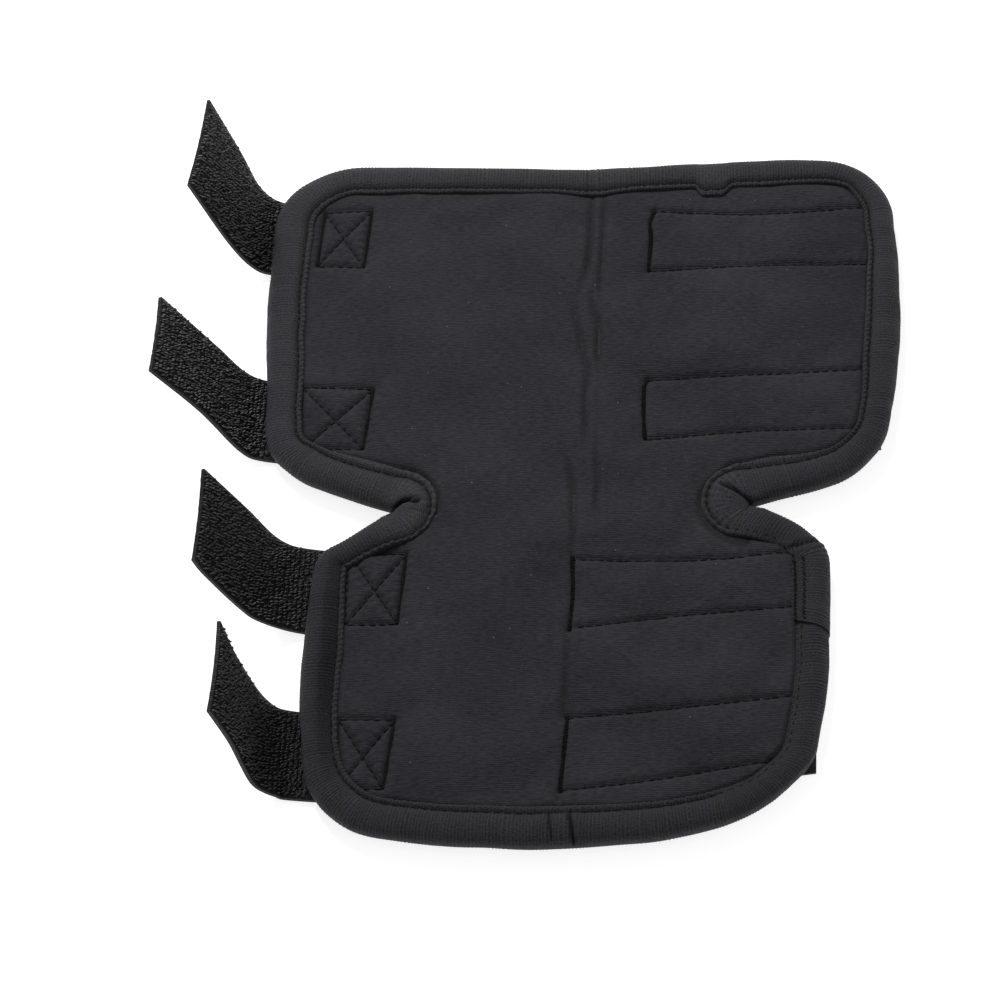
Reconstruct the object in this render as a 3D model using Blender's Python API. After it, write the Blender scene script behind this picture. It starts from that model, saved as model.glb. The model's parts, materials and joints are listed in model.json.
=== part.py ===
"""Wrap-around leg guard, laid open flat with its lining upward.

A padded sheet has two wide upper lobes and two narrower lower lobes, parted on each side by
a V-shaped notch. Its edge is bound with folded tape. Four hook straps are sewn under the left
edge and curl upward. Four loop pads are sewn under the right half and take the hooks when the
guard is closed round a leg. The sheet folds on three lines that run from top to bottom.

Lengths in the constants are millimetres. X runs across the guard, Y from its bottom edge to
its top edge, and Z up from the surface that it lies on.
"""
import math

import bmesh
import bpy
from mathutils import Matrix, Vector

MM = 0.001

# Outline of the bound edge, right half, from the top centre round to the bottom centre.
TOP_CENTRE = (0.0, 123.5)
BOTTOM_CENTRE = (0.0, -124.0)
# Corner x, corner y, fillet radius.
OUTLINE_CORNERS = (
    (98.5, 126.0, 24.0),   # upper lobe, top corner
    (94.5, 6.0, 24.0),     # upper lobe, lower corner
    (51.5, -7.0, 1.0),     # root of the side notch
    (76.0, -22.0, 10.5),   # lower lobe, shoulder
    (75.5, -117.5, 33.0),  # lower lobe, bottom corner
    (28.0, -124.0, 80.0),  # start of the level bottom edge
)
ARC_STEP_DEG = 9.0

# Fold lines at x = 0 and x = +-FOLD_X, their axes just above the highest stitching.
FOLD_X = 39.0
FOLD_Z = 9.2
GAP = 0.3

# Layers, as bottom and top heights.
COVER_Z = (2.7, 3.3)
FOAM_Z = (3.6, 6.6)
LINING_Z = (6.9, 7.5)
SEWN_STITCH_Z = (7.8, 8.2)
LAYER_INSET = 0.9

# Binding tape folded over the edge.
BINDING_WIDTH = 9.0
BINDING_CLOTH = 0.6
BINDING_Z = (1.8, 8.4)
BINDING_ROUND = 0.9
BINDING_THREAD_INSET = 7.4
BINDING_THREAD_Z = (8.7, 9.1)
THREAD_WIDTH = 0.8

# Hook straps and loop pads. Both thin from TAPE_TOP to TAPE_THICK under the binding.
TAPE_THICK = 1.5
TAPE_TOP = 2.3
TAPE_STEP = 1.0
STRAP_WIDTH = 30.0
STRAP_LENGTH = 53.0
HINGE_OFFSET = 3.0
BEND_STEP_DEG = 8.0
ROUND_END_STEPS = 6

# Per strap: centre y, inner end of its sewn tab, start of the part under the binding,
# edge of the guard at that height, bend radius, final rise in degrees.
STRAPS = (
    (100.0, 64.0, 80.0, 98.5, 7.0, 74.0),
    (28.5, 58.5, 78.0, 95.5, 8.0, 63.0),
    (-34.8, 43.5, 52.5, 76.0, 11.0, 66.0),
    (-91.0, 43.0, 49.0, 76.0, 8.0, 77.0),
)
# Per strap: outer x, inner x, low y and high y of the boxed cross stitch on its tab.
BOX_STITCHES = (
    (83.0, 67.0, 87.5, 111.0),
    (81.5, 62.0, 17.5, 41.0),
    (62.0, 46.5, -48.5, -26.0),
    (60.0, 46.0, -101.0, -79.0),
)
BOX_STITCH_WIDTH = 1.0

# Per pad: inner x, start of the part under the binding, outer x, centre y at its inner end,
# slope of its centre line, outer end of its stitch outline.
PADS = (
    (17.5, 85.0, 94.0, 95.0, 0.008, 86.5),
    (18.0, 79.5, 92.0, 28.5, 0.040, 83.0),
    (1.5, 56.5, 72.0, -37.7, 0.035, 59.5),
    (1.0, 55.0, 74.0, -92.2, 0.095, 58.0),
)
PAD_WIDTH = 29.0
PAD_STITCH_MARGIN = 2.6

MATERIALS = {
    # colour, roughness
    "lining_knit": ((0.033, 0.032, 0.037), 0.85),
    "foam_core": ((0.016, 0.016, 0.018), 0.9),
    "outer_cover": ((0.024, 0.024, 0.028), 0.85),
    "binding_tape": ((0.026, 0.025, 0.031), 0.75),
    "thread": ((0.018, 0.018, 0.021), 0.6),
    "hook_tape": ((0.015, 0.015, 0.018), 0.5),
    "loop_tape": ((0.016, 0.016, 0.019), 0.9),
}


# ---- scene, materials and placing ----

def clear_scene():
    for obj in list(bpy.data.objects):
        bpy.data.objects.remove(obj, do_unlink=True)


def make_materials():
    made = {}
    for name, (colour, roughness) in MATERIALS.items():
        material = bpy.data.materials.new(name)
        material.use_nodes = True
        shader = material.node_tree.nodes["Principled BSDF"]
        shader.inputs["Base Color"].default_value = (*colour, 1.0)
        shader.inputs["Roughness"].default_value = roughness
        shader.inputs["Metallic"].default_value = 0.0
        made[name] = material
    return made


class Guard:
    """The collection, materials and bodies that the parts are added to."""

    def __init__(self):
        self.collection = bpy.data.collections.new("leg_guard")
        bpy.context.scene.collection.children.link(self.collection)
        self.materials = make_materials()
        self.parts = []
        self.pivots = {}

    def body(self, name, parent, x, y, z):
        """An empty on a body's joint axis, placed in the guard's own millimetre frame."""
        empty = bpy.data.objects.new("axis_" + name, None)
        self.collection.objects.link(empty)
        self.pivots[empty] = Vector((x, y, z))
        empty.parent = parent
        base = self.pivots[parent] if parent else Vector((0.0, 0.0, 0.0))
        empty.location = (self.pivots[empty] - base) * MM
        return empty

    def part(self, name, data, material, body, place=(0.0, 0.0, 0.0), tilt_x=0.0):
        """An object of a curve or mesh, placed in the guard's own frame, riding on a body."""
        data.materials.append(self.materials[material])
        obj = bpy.data.objects.new(name, data)
        self.collection.objects.link(obj)
        obj.parent = body
        obj.location = (Vector(place) - self.pivots[body]) * MM
        obj.rotation_euler.x = tilt_x
        self.parts.append(obj)


def centre_on_origin(root, parts):
    """Move the whole guard so that its bounding box stands centred on the origin."""
    bpy.context.view_layer.update()
    corners = [part.matrix_world @ Vector(corner) for part in parts for corner in part.bound_box]
    for axis in (0, 1):
        values = [corner[axis] for corner in corners]
        root.location[axis] -= (min(values) + max(values)) / 2


# ---- outlines ----

def fillet(before, corner, after, radius):
    """Points of the arc that rounds one corner of the outline."""
    to_before = (before - corner).normalized()
    to_after = (after - corner).normalized()
    half = to_before.angle(to_after) / 2
    centre = corner + (to_before + to_after).normalized() * radius / math.sin(half)
    start = corner + to_before * radius / math.tan(half) - centre
    end = corner + to_after * radius / math.tan(half) - centre
    first = math.atan2(start.y, start.x)
    turn = math.remainder(math.atan2(end.y, end.x) - first, math.tau)
    steps = max(2, math.ceil(math.degrees(abs(turn)) / ARC_STEP_DEG))
    angles = [first + turn * step / steps for step in range(steps + 1)]
    return [centre + radius * Vector((math.cos(a), math.sin(a))) for a in angles]


def half_outline():
    """The right half of the outline, from the top centre to the bottom centre."""
    corners = [Vector(corner[:2]) for corner in OUTLINE_CORNERS]
    chain = [Vector(TOP_CENTRE), *corners, Vector(BOTTOM_CENTRE)]
    points = [chain[0]]
    for index, (_, _, radius) in enumerate(OUTLINE_CORNERS):
        points += fillet(chain[index], chain[index + 1], chain[index + 2], radius)
    return points + [chain[-1]]


def miters(chain):
    """Each inner point of a chain, with its move for a unit step to the chain's right."""
    for before, point, after in zip(chain, chain[1:], chain[2:]):
        into = (point - before).normalized()
        out = (after - point).normalized()
        normal = Vector((into.y, -into.x))
        middle = (normal + Vector((out.y, -out.x))).normalized()
        yield point, middle / middle.dot(normal)


def inset(points, distance):
    """The half outline moved inward; its two ends stay on the centre line."""
    mirrored_first = Vector((-points[1].x, points[1].y))
    mirrored_last = Vector((-points[-2].x, points[-2].y))
    chain = [mirrored_first, *points, mirrored_last]
    return [point + move * distance for point, move in miters(chain)]


def strip(line, width):
    """The outline of a narrow strip along an open line."""
    chain = [2 * line[0] - line[1], *line, 2 * line[-1] - line[-2]]
    moved = [(point, move * width / 2) for point, move in miters(chain)]
    return [point + half for point, half in moved] + [point - half for point, half in moved[::-1]]


def edge_spans(outline):
    """The edge's three stretches, right half: start x, end x, first and last segment."""
    pairs = enumerate(zip(outline, outline[1:]))
    top, bottom = [i for i, (a, b) in pairs if (a.x - FOLD_X) * (b.x - FOLD_X) < 0]
    near = GAP / 2
    return {
        "top": (near, FOLD_X - near, 0, top),
        "wing": (FOLD_X + near, FOLD_X + near, top, bottom),
        "bottom": (FOLD_X - near, near, bottom, len(outline) - 2),
    }


def at_x(line, segment, x):
    start, end = line[segment:segment + 2]
    return start.lerp(end, (x - start.x) / (end.x - start.x))


def cut(line, span):
    """The stretch of an outline between two upright cuts."""
    x_start, x_end, first, last = span
    return [at_x(line, first, x_start), *line[first + 1:last + 1], at_x(line, last, x_end)]


# ---- shapes ----

def flat_shape(name, loops, thickness, side=1):
    """A filled 2D curve: the first loop is its outline, and any others are its holes."""
    curve = bpy.data.curves.new(name, "CURVE")
    curve.dimensions = "2D"
    curve.fill_mode = "BOTH"
    curve.extrude = thickness / 2 * MM
    for loop in loops:
        spline = curve.splines.new("POLY")
        spline.points.add(len(loop) - 1)
        for point, (x, y) in zip(spline.points, loop):
            point.co = (side * x * MM, y * MM, 0.0, 1.0)
        spline.use_cyclic_u = True
    return curve


def lofted_shape(name, rings, side):
    """A closed mesh through rings that all have the same number of points."""
    bm = bmesh.new()
    made = []
    for ring in rings:
        made.append([bm.verts.new(Vector((side * x, y, z)) * MM) for x, y, z in ring])
    for ring, following in zip(made, made[1:]):
        for i, j in zip(range(len(ring)), [*range(1, len(ring)), 0]):
            bm.faces.new((ring[i], ring[j], following[j], following[i]))
    bm.faces.new(made[0])
    bm.faces.new(made[-1])
    bmesh.ops.recalc_face_normals(bm, faces=bm.faces)
    mesh = bpy.data.meshes.new(name)
    bm.to_mesh(mesh)
    bm.free()
    return mesh


def sheared_mesh(curve, slope):
    """A side profile's curve made a mesh, with its width axis sloped along its length."""
    source = bpy.data.objects.new(curve.name, curve)
    bpy.context.scene.collection.objects.link(source)
    evaluated = source.evaluated_get(bpy.context.evaluated_depsgraph_get())
    mesh = bpy.data.meshes.new_from_object(evaluated)
    bpy.data.objects.remove(source, do_unlink=True)
    bpy.data.curves.remove(curve)
    bm = bmesh.new()
    bm.from_mesh(mesh)
    bmesh.ops.remove_doubles(bm, verts=bm.verts, dist=0.001 * MM)
    shear = Matrix.Identity(4)
    shear[2][0] = -slope
    bmesh.ops.transform(bm, matrix=shear, verts=bm.verts)
    bm.to_mesh(mesh)
    bm.free()
    return mesh


# ---- padded sheet ----

def add_layers(guard, outline, panels):
    edge = inset(outline, LAYER_INSET)
    spans = edge_spans(outline)
    loops = {
        "centre": cut(edge, spans["top"]) + cut(edge, spans["bottom"]),
        "wing": cut(edge, spans["wing"]),
    }
    layers = (("lining", LINING_Z, "lining_knit"), ("foam", FOAM_Z, "foam_core"),
              ("cover", COVER_Z, "outer_cover"))
    for layer, (low, high), material in layers:
        for (side_name, side, panel), body in panels.items():
            name = f"{layer}_{side_name}_{panel}"
            curve = flat_shape(name, [loops[panel]], high - low, side)
            guard.part(name, curve, material, body, (0.0, 0.0, (low + high) / 2))


def binding_profile():
    """Cross-section of the folded tape: distance in from the edge, and height."""
    low, high = BINDING_Z
    cloth = BINDING_CLOTH
    return (
        (BINDING_ROUND, low), (0.0, low + BINDING_ROUND), (0.0, high - BINDING_ROUND),
        (BINDING_ROUND, high), (BINDING_WIDTH, high), (BINDING_WIDTH, high - cloth),
        (cloth, high - cloth), (cloth, low + cloth), (BINDING_WIDTH, low + cloth),
        (BINDING_WIDTH, low),
    )


def add_binding(guard, outline, panels):
    """The folded tape and its stitching, cut at the fold lines.

    The tape's section leans with the outline's corners and is cut upright at the folds, so it
    is a loft between unlike sections.
    """
    profile = binding_profile()
    lines = [inset(outline, distance) for distance, _ in profile]
    thread_line = inset(outline, BINDING_THREAD_INSET)
    thread_low, thread_high = BINDING_THREAD_Z
    for stretch, span in edge_spans(outline).items():
        runs = [cut(line, span) for line in lines]
        rings = [[(point.x, point.y, z) for point, (_, z) in zip(station, profile)]
                 for station in zip(*runs)]
        thread = strip(cut(thread_line, span), THREAD_WIDTH)
        for (side_name, side, panel), body in panels.items():
            if (panel == "wing") != (stretch == "wing"):
                continue
            name = f"binding_{side_name}_{stretch}"
            guard.part(name, lofted_shape(name, rings, side), "binding_tape", body)
            name = f"binding_thread_{side_name}_{stretch}"
            curve = flat_shape(name, [thread], thread_high - thread_low, side)
            guard.part(name, curve, "thread", body, (0.0, 0.0, (thread_low + thread_high) / 2))


# ---- hook straps ----

def tape_profile(start, step, end):
    """Side profile of tape on the ground that thins where it passes under the binding."""
    thins = step - TAPE_STEP / 2
    thin = step + TAPE_STEP / 2
    return [(start, 0.0), (end, 0.0), (end, TAPE_THICK), (thin, TAPE_THICK),
            (thins, TAPE_TOP), (start, TAPE_TOP)]


def strap_profile(radius, rise_deg):
    """Side profile of the free strap: outward from its hinge axis, and up.

    It is round at the hinge, bends upward at once, then runs straight to a square end.
    """
    rise = math.radians(rise_deg)
    steps = math.ceil(rise_deg / BEND_STEP_DEG)
    angles = [rise * step / steps for step in range(steps + 1)]
    centre = [(radius * math.sin(a), radius * (1 - math.cos(a)), a) for a in angles]
    out, up, _ = centre[-1]
    straight = STRAP_LENGTH - radius * rise
    centre.append((out + straight * math.cos(rise), up + straight * math.sin(rise), rise))
    half = TAPE_THICK / 2
    upper = [(out - half * math.sin(a), up + half * math.cos(a)) for out, up, a in centre]
    lower = [(out + half * math.sin(a), up - half * math.cos(a)) for out, up, a in centre]
    turns = [math.pi * (0.5 + step / ROUND_END_STEPS) for step in range(1, ROUND_END_STEPS)]
    round_end = [(half * math.cos(turn), half * math.sin(turn)) for turn in turns]
    return upper[::-1] + round_end + lower


def box_stitch_loops(x_outer, x_inner, y_low, y_high):
    """A stitched box with a cross in it: its outline and its four triangular holes."""
    half = BOX_STITCH_WIDTH / 2
    centre = Vector(((x_outer + x_inner) / 2, (y_low + y_high) / 2))
    reach = Vector(((x_outer - x_inner) / 2, (y_high - y_low) / 2))
    rim = reach + Vector((half, half))
    hole = reach - Vector((half, half))
    slant = math.atan2(reach.y, reach.x)
    beside = half / math.sin(slant)
    above = half / math.cos(slant)
    side_reach = (hole.x - beside) * math.tan(slant)
    end_reach = (hole.y - above) / math.tan(slant)
    outline = [(rim.x, rim.y), (-rim.x, rim.y), (-rim.x, -rim.y), (rim.x, -rim.y)]
    side_hole = [(beside, 0.0), (hole.x, side_reach), (hole.x, -side_reach)]
    end_hole = [(0.0, above), (end_reach, hole.y), (-end_reach, hole.y)]
    loops = [outline]
    for sign in (1, -1):
        loops += [[(sign * x, sign * y) for x, y in hole] for hole in (side_hole, end_hole)]
    return [[centre + Vector(point) for point in loop] for loop in loops]


def add_straps(guard, wing):
    stitch_low, stitch_high = SEWN_STITCH_Z
    stitch_place = (0.0, 0.0, (stitch_low + stitch_high) / 2)
    for number, (strap, box) in enumerate(zip(STRAPS, BOX_STITCHES), start=1):
        y, x_inner, x_step, x_edge, radius, rise = strap
        hinge_x = x_edge + HINGE_OFFSET
        tab_end = hinge_x - TAPE_THICK / 2 - GAP
        name = f"strap_tab_{number}"
        tab = flat_shape(name, [tape_profile(x_inner, x_step, tab_end)], STRAP_WIDTH, -1)
        guard.part(name, tab, "hook_tape", wing, (0.0, y, 0.0), math.pi / 2)
        name = f"strap_stitch_{number}"
        stitch = flat_shape(name, box_stitch_loops(*box), stitch_high - stitch_low, -1)
        guard.part(name, stitch, "thread", wing, stitch_place)
        name = f"strap_{number}"
        hinge = (-hinge_x, y, TAPE_THICK / 2)
        body = guard.body(name, wing, *hinge)
        free = flat_shape(name, [strap_profile(radius, rise)], STRAP_WIDTH, -1)
        guard.part(name, free, "hook_tape", body, hinge, math.pi / 2)


# ---- loop pads ----

def pad_stitch_line(end, reach, cut_x, y_at):
    """A pad's stitch outline on one side of the fold line that crosses it."""
    return [Vector((x, y_at(x) + across)) for x, across in
            ((cut_x, reach), (end, reach), (end, -reach), (cut_x, -reach))]


def add_pads(guard, bodies):
    reach = PAD_WIDTH / 2 - PAD_STITCH_MARGIN
    stitch_low, stitch_high = SEWN_STITCH_Z
    stitch_place = (0.0, 0.0, (stitch_low + stitch_high) / 2)
    for number, (x_inner, x_step, x_outer, y_inner, slope, stitch_end) in enumerate(PADS, 1):
        y_centre = y_inner - slope * x_inner

        def y_at(x):
            return y_centre + slope * x

        before = FOLD_X - GAP / 2
        beyond = FOLD_X + GAP / 2
        block = [(x_inner, 0.0), (before, 0.0), (before, TAPE_TOP), (x_inner, TAPE_TOP)]
        halves = {
            "centre": (block, x_inner + PAD_STITCH_MARGIN, before),
            "wing": (tape_profile(beyond, x_step, x_outer), stitch_end, beyond),
        }
        for panel, (profile, end, cut_x) in halves.items():
            name = f"loop_pad_{number}_{panel}"
            mesh = sheared_mesh(flat_shape(name, [profile], PAD_WIDTH), slope)
            guard.part(name, mesh, "loop_tape", bodies[panel], (0.0, y_centre, 0.0), math.pi / 2)
            name = f"pad_stitch_{number}_{panel}"
            line = pad_stitch_line(end, reach, cut_x, y_at)
            curve = flat_shape(name, [strip(line, THREAD_WIDTH)], stitch_high - stitch_low)
            guard.part(name, curve, "thread", bodies[panel], stitch_place)


def build():
    clear_scene()
    guard = Guard()
    outline = half_outline()
    root = guard.body("right_centre", None, 0.0, 0.0, 0.0)
    left_centre = guard.body("left_centre", root, 0.0, 0.0, FOLD_Z)
    right_wing = guard.body("right_wing", root, FOLD_X, 0.0, FOLD_Z)
    left_wing = guard.body("left_wing", left_centre, -FOLD_X, 0.0, FOLD_Z)
    panels = {
        ("right", 1, "centre"): root,
        ("right", 1, "wing"): right_wing,
        ("left", -1, "centre"): left_centre,
        ("left", -1, "wing"): left_wing,
    }
    add_layers(guard, outline, panels)
    add_binding(guard, outline, panels)
    add_straps(guard, left_wing)
    add_pads(guard, {"centre": root, "wing": right_wing})
    centre_on_origin(root, guard.parts)


build()
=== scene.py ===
"""Padded wrap-around leg guard lying open, lining side up, with four hook straps curling up at its left edge."""

import json
import math

import bpy
import numpy as np
from mathutils import Matrix, Vector
from mathutils.kdtree import KDTree


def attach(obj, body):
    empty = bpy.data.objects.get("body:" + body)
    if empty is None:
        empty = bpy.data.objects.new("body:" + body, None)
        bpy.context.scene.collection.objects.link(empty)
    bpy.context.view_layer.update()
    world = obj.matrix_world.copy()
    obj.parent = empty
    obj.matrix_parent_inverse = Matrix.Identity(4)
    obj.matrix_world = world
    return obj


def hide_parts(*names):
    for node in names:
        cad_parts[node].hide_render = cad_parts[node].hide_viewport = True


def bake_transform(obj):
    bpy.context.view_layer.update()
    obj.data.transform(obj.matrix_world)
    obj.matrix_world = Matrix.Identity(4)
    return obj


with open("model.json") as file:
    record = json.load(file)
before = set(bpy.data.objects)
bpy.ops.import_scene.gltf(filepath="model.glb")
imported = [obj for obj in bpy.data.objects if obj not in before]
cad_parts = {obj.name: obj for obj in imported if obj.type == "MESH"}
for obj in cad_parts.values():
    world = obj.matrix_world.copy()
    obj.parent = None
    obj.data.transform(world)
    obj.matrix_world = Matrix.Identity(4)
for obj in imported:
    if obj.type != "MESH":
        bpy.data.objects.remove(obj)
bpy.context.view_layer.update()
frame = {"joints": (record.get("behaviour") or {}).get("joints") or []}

# Lengths are millimetres on the open guard: x across from the centre fold, y up the sheet, z up from the ground.
MM = 0.001
HINGES = {joint["name"]: joint["pos_m"] for joint in frame["joints"]}
ORIGIN = np.array([HINGES["centre_fold"][0], HINGES["centre_fold"][1], 0.0])

TOP_CENTRE = (0.0, 123.5)
BOTTOM_CENTRE = (0.0, -124.0)
# Corners of the right half, each with its radius.
OUTLINE_CORNERS = (
    (98.5, 126.0, 24.0), (94.5, 6.0, 24.0), (51.5, -7.0, 1.0),
    (76.0, -22.0, 10.5), (75.5, -117.5, 33.0), (28.0, -124.0, 80.0),
)
# How far the cloth's real edge lies outside that outline: place on it, and outward shift.
EDGE_SHIFTS = (
    (0, 123.7, 1.4), (14.9, 124, 1.4), (29.9, 124.6, 1.7), (44.8, 124.7, 2.0), (59.8, 124.8, 2.5), (75.1, 125, 1.4),
    (91.2, 117.5, -0.7), (97.7, 100.8, -1.6), (97.3, 85.8, 0.3), (96.9, 70.9, 0.9), (96.1, 55.9, 1.8),
    (95.7, 41, 1.0), (95.2, 26.1, -0.5), (90.1, 9.5, -2.2), (75.4, 0.1, -0.8), (61.1, -4.3, -0.9), (54, -6.5, -0.4),
    (52.6, -7.6, 0.8), (55.5, -9.4, 2.6), (61, -13, 3.3), (67.8, -17.1, 2.9), (75.3, -24, 0.2), (76.1, -33.1, 0.6),
    (76.1, -48.1, 0.4), (75.9, -63, 0.8), (75.8, -78, -0.6), (75.3, -93.5, -2.8), (72.9, -101.8, -6.2),
    (68.5, -109.2, -7.6), (62.3, -115.2, -8.2), (54.7, -119.5, -8.2), (46.5, -121.4, -6.8), (39, -122.5, -5.6),
    (23.6, -124.1, -4.6), (8.6, -124, -3.1), (-6.3, -124, -2.4), (-21.3, -123.7, -3.0), (-36.8, -122.7, -2.9),
    (-52.1, -120, -2.8), (-66.4, -110.9, -2.0), (-73.8, -99.4, -2.3), (-75.5, -91, -2.8),
    (-75.8, -83, -2.1), (-75.9, -77, -0.9), (-75.9, -72.8, -0.7), (-75.7, -57.8, 0.1), (-75.7, -28, -0.5),
    (-69.7, -18.4, -1.4), (-57.1, -10.5, 0.2), (-52.0, -7.5, 0.9), (-57.0, -5.2, 0.0), (-66.1, -2.8, -0.8),
    (-80.9, 1.9, -2.3), (-88.5, 7.1, -2.9),
    (-93.6, 14.8, -1.2), (-95.9, 53.7, 1.6), (-96.7, 68.6, 2.0), (-97.2, 83.5, 1.9), (-97.5, 98.5, 1.5),
    (-93.3, 115.6, 2.9), (-86.4, 121.6, 2.5), (-69.6, 125, 3.1), (-54.6, 124.7, 2.9), (-39.7, 124.4, 2.5),
    (-24.7, 124.1, 2.2), (-9.8, 124, 1.2),
)
# The side folds, where the sheet's zones meet, and the spacing of the grids in them.
FOLD_X = 39.0
ZONE_X = 20.0
LINING_STEP = 0.7
COVER_STEP = 1.25
FOAM_STEP = 2.5

# The tape's ribs: spacing, outline samples in each, and height.
RIB = 1.0
RIB_SAMPLES = 4
RIB_HEIGHT = 0.08
# The lining's height under the tape, and the stitches' spacing.
LINING_Z = 6.75
STITCH = 2.9
# The folded tape's width at places on the outline.
TAPE_WIDTHS = (
    ((0, 123.5), 9.2), ((60, 125), 9.0), ((97, 60), 9.4), ((94.5, 12), 9.8), ((76, 1), 11.4), ((64, -3), 13.6),
    ((53, -7), 15.4), ((57, -11), 12.2), ((66, -16), 9.8), ((75, -23), 10.2), ((76, -34), 9.9), ((75.8, -60), 9.3),
    ((75, -93), 9.0), ((66, -113), 8.4), ((50, -121), 9.8), ((28, -124), 11.2), ((0, -124), 12.1),
    ((-28, -124), 11.8), ((-60, -117), 11.6), ((-73.5, -100), 11.5), ((-75.6, -88), 10.7), ((-75.8, -76), 11.7),
    ((-75.8, -60), 12.2), ((-76, -34), 10.6),
    ((-75, -23), 10.2), ((-66, -16), 10.0), ((-57, -11), 12.0), ((-53, -7), 14.6), ((-64, -3), 13.8), ((-76, 1), 12.8),
    ((-92, 9), 11.8), ((-95, 20), 11.4), ((-97, 60), 10.3), ((-97, 98), 11.2), ((-93, 114), 10.4), ((-60, 125), 9.0),
)
# Where the tape is folded or lapped over itself: depth of the dent, and points along it.
TAPE_FOLDS = (
    (1.1, (56.0, -8.0), (48.9, -2.7), (45.2, -0.5)),
    (1.3, (-54.2, -9.6), (-51.6, -6.4), (-48.6, -5.0), (-45.2, -5.7)),
    (0.8, (62.3, -23.6), (68.0, -22.0), (73.9, -20.2)),
    (0.7, (-0.9, -113.0), (0.3, -119.5)),
    (1.0, (5.0, -113.0), (6.8, -122.5)),
)
GROOVE_AT = 0.825
# Cross-section of the folded tape: share of its width in from the edge, height, and how much of the ribs shows.
TAPE_SECTION = (
    (1.00, 6.5, 0.0), (0.99, 7.2, 0.0), (0.965, 7.75, 0.1), (0.92, 8.05, 0.1),
    (0.875, 7.95, 0.1), (0.84, 7.45, 0.1), (0.80, 7.6, 0.4), (0.75, 8.15, 0.8),
    (0.65, 8.65, 1.0), (0.52, 8.9, 1.0), (0.38, 8.9, 1.0), (0.25, 8.65, 1.0),
    (0.14, 8.15, 1.0), (0.06, 7.3, 1.0), (0.01, 6.3, 1.0), (0.00, 5.1, 1.0),
    (0.01, 3.9, 1.0), (0.06, 2.8, 1.0), (0.15, 2.1, 1.0), (0.32, 1.75, 1.0),
    (0.55, 1.7, 1.0), (0.74, 1.9, 0.8), (0.81, 2.4, 0.3), (0.87, 2.0, 0.1),
    (0.95, 2.0, 0.1), (1.00, 2.9, 0.0), (0.94, 3.5, 0.0), (0.55, 2.9, 0.0),
    (0.20, 3.1, 0.0), (0.12, 5.1, 0.0), (0.20, 7.0, 0.0), (0.55, 7.3, 0.0),
    (0.90, 6.3, 0.0),
)
LIP_POINTS = (2, 3, 4)

# Corners of the boxes sewn through the strap tabs.
BOX_STITCHES = (
    ((-83.7, 109.0), (-68.7, 109.3), (-69.3, 86.0), (-84.4, 87.1)),
    ((-84.6, 39.2), (-62.5, 38.0), (-63.8, 15.3), (-82.4, 15.8)),
    ((-64.9, -22.8), (-47.6, -23.4), (-48.6, -47.9), (-63.9, -48.2)),
    ((-63.0, -80.4), (-46.8, -80.8), (-48.4, -103.4), (-61.6, -103.4)),
)
# The two long seams of each loop pad, and the dense bar of zigzag at its inner end.
PAD_SEAMS = (
    (((20.1, 106.8), (35.9, 105.6), (48.5, 104.8), (64, 105.2), (90.5, 106.9)),
     ((20.6, 82.5), (55, 84.0), (90.5, 83.6))),
    (((20.8, 39.5), (55, 41.5), (90.0, 42.8)), ((21.5, 17.2), (55, 20.2), (90.0, 21.0))),
    (((3.0, -25.8), (35, -26.6), (68.0, -23.6)), ((3.5, -49.6), (35, -45.9), (69.0, -42.6))),
    (((2.3, -80.4), (35, -77.2), (68.0, -73.0)), ((1.8, -104.0), (30, -100.2), (60.5, -94.6))),
)
PAD_BARS = (
    ((21.6, 106.8), (20.3, 102.0), (20.7, 95.0), (20.4, 82.2)),
    ((21.6, 39.9), (20.6, 36.0), (20.9, 26.0), (21.5, 17.4)),
    ((1.6, -24.7), (2.3, -37.0), (1.9, -50.9)),
    ((2.9, -80.0), (2.2, -92.0), (1.7, -104.6)),
)
# Soft folds of the lining down the middle: points, depth and half width.
CREASES = (
    (((1.5, 114.0), (1.8, 104), (2.0, 95), (1.6, 83), (0.7, 75)), 0.75, 1.3),
    (((5.3, 114.0), (5.6, 105), (5.9, 99), (6.1, 87), (6.0, 75), (6.2, 69)), 0.6, 1.2),
    (((-0.6, 82.5), (-0.4, 80), (-0.1, 72)), 0.4, 1.1),
    (((3.1, 73), (3.6, 69), (4.6, 64.4), (5.9, 60.1), (6.4, 48.8), (6.6, 42)), 0.7, 1.3),
    (((-3.2, 72), (-1.3, 63.3), (0.4, 56.1), (2.0, 48.3), (3.4, 41.8), (3.2, 32.2), (3.5, 19.8), (3.9, 13)), 0.6, 1.2),
    (((7.0, 17), (7.7, 6.1), (8.4, 1.6), (8.1, -7.9), (9.3, -15)), 0.55, 1.1),
    (((-2.2, 11), (0.0, 3.4), (1.1, -3.9), (1.4, -11.1), (2.0, -18.3), (1.5, -24)), 0.65, 1.2),
    (((0.9, 14), (2.3, 5.1)), 0.35, 1.0),
    (((1.9, -50.9), (2.1, -61.2), (2.0, -71.3), (2.2, -81.0)), 0.6, 1.3),
    (((1.9, -104.6), (1.0, -112)), 0.6, 1.3),
    (((5.6, -51), (5.0, -60), (4.2, -66)), 0.3, 1.1),
)
LEAST_Z = 0.02
STRAP_WIDTH = 30.0
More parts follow.
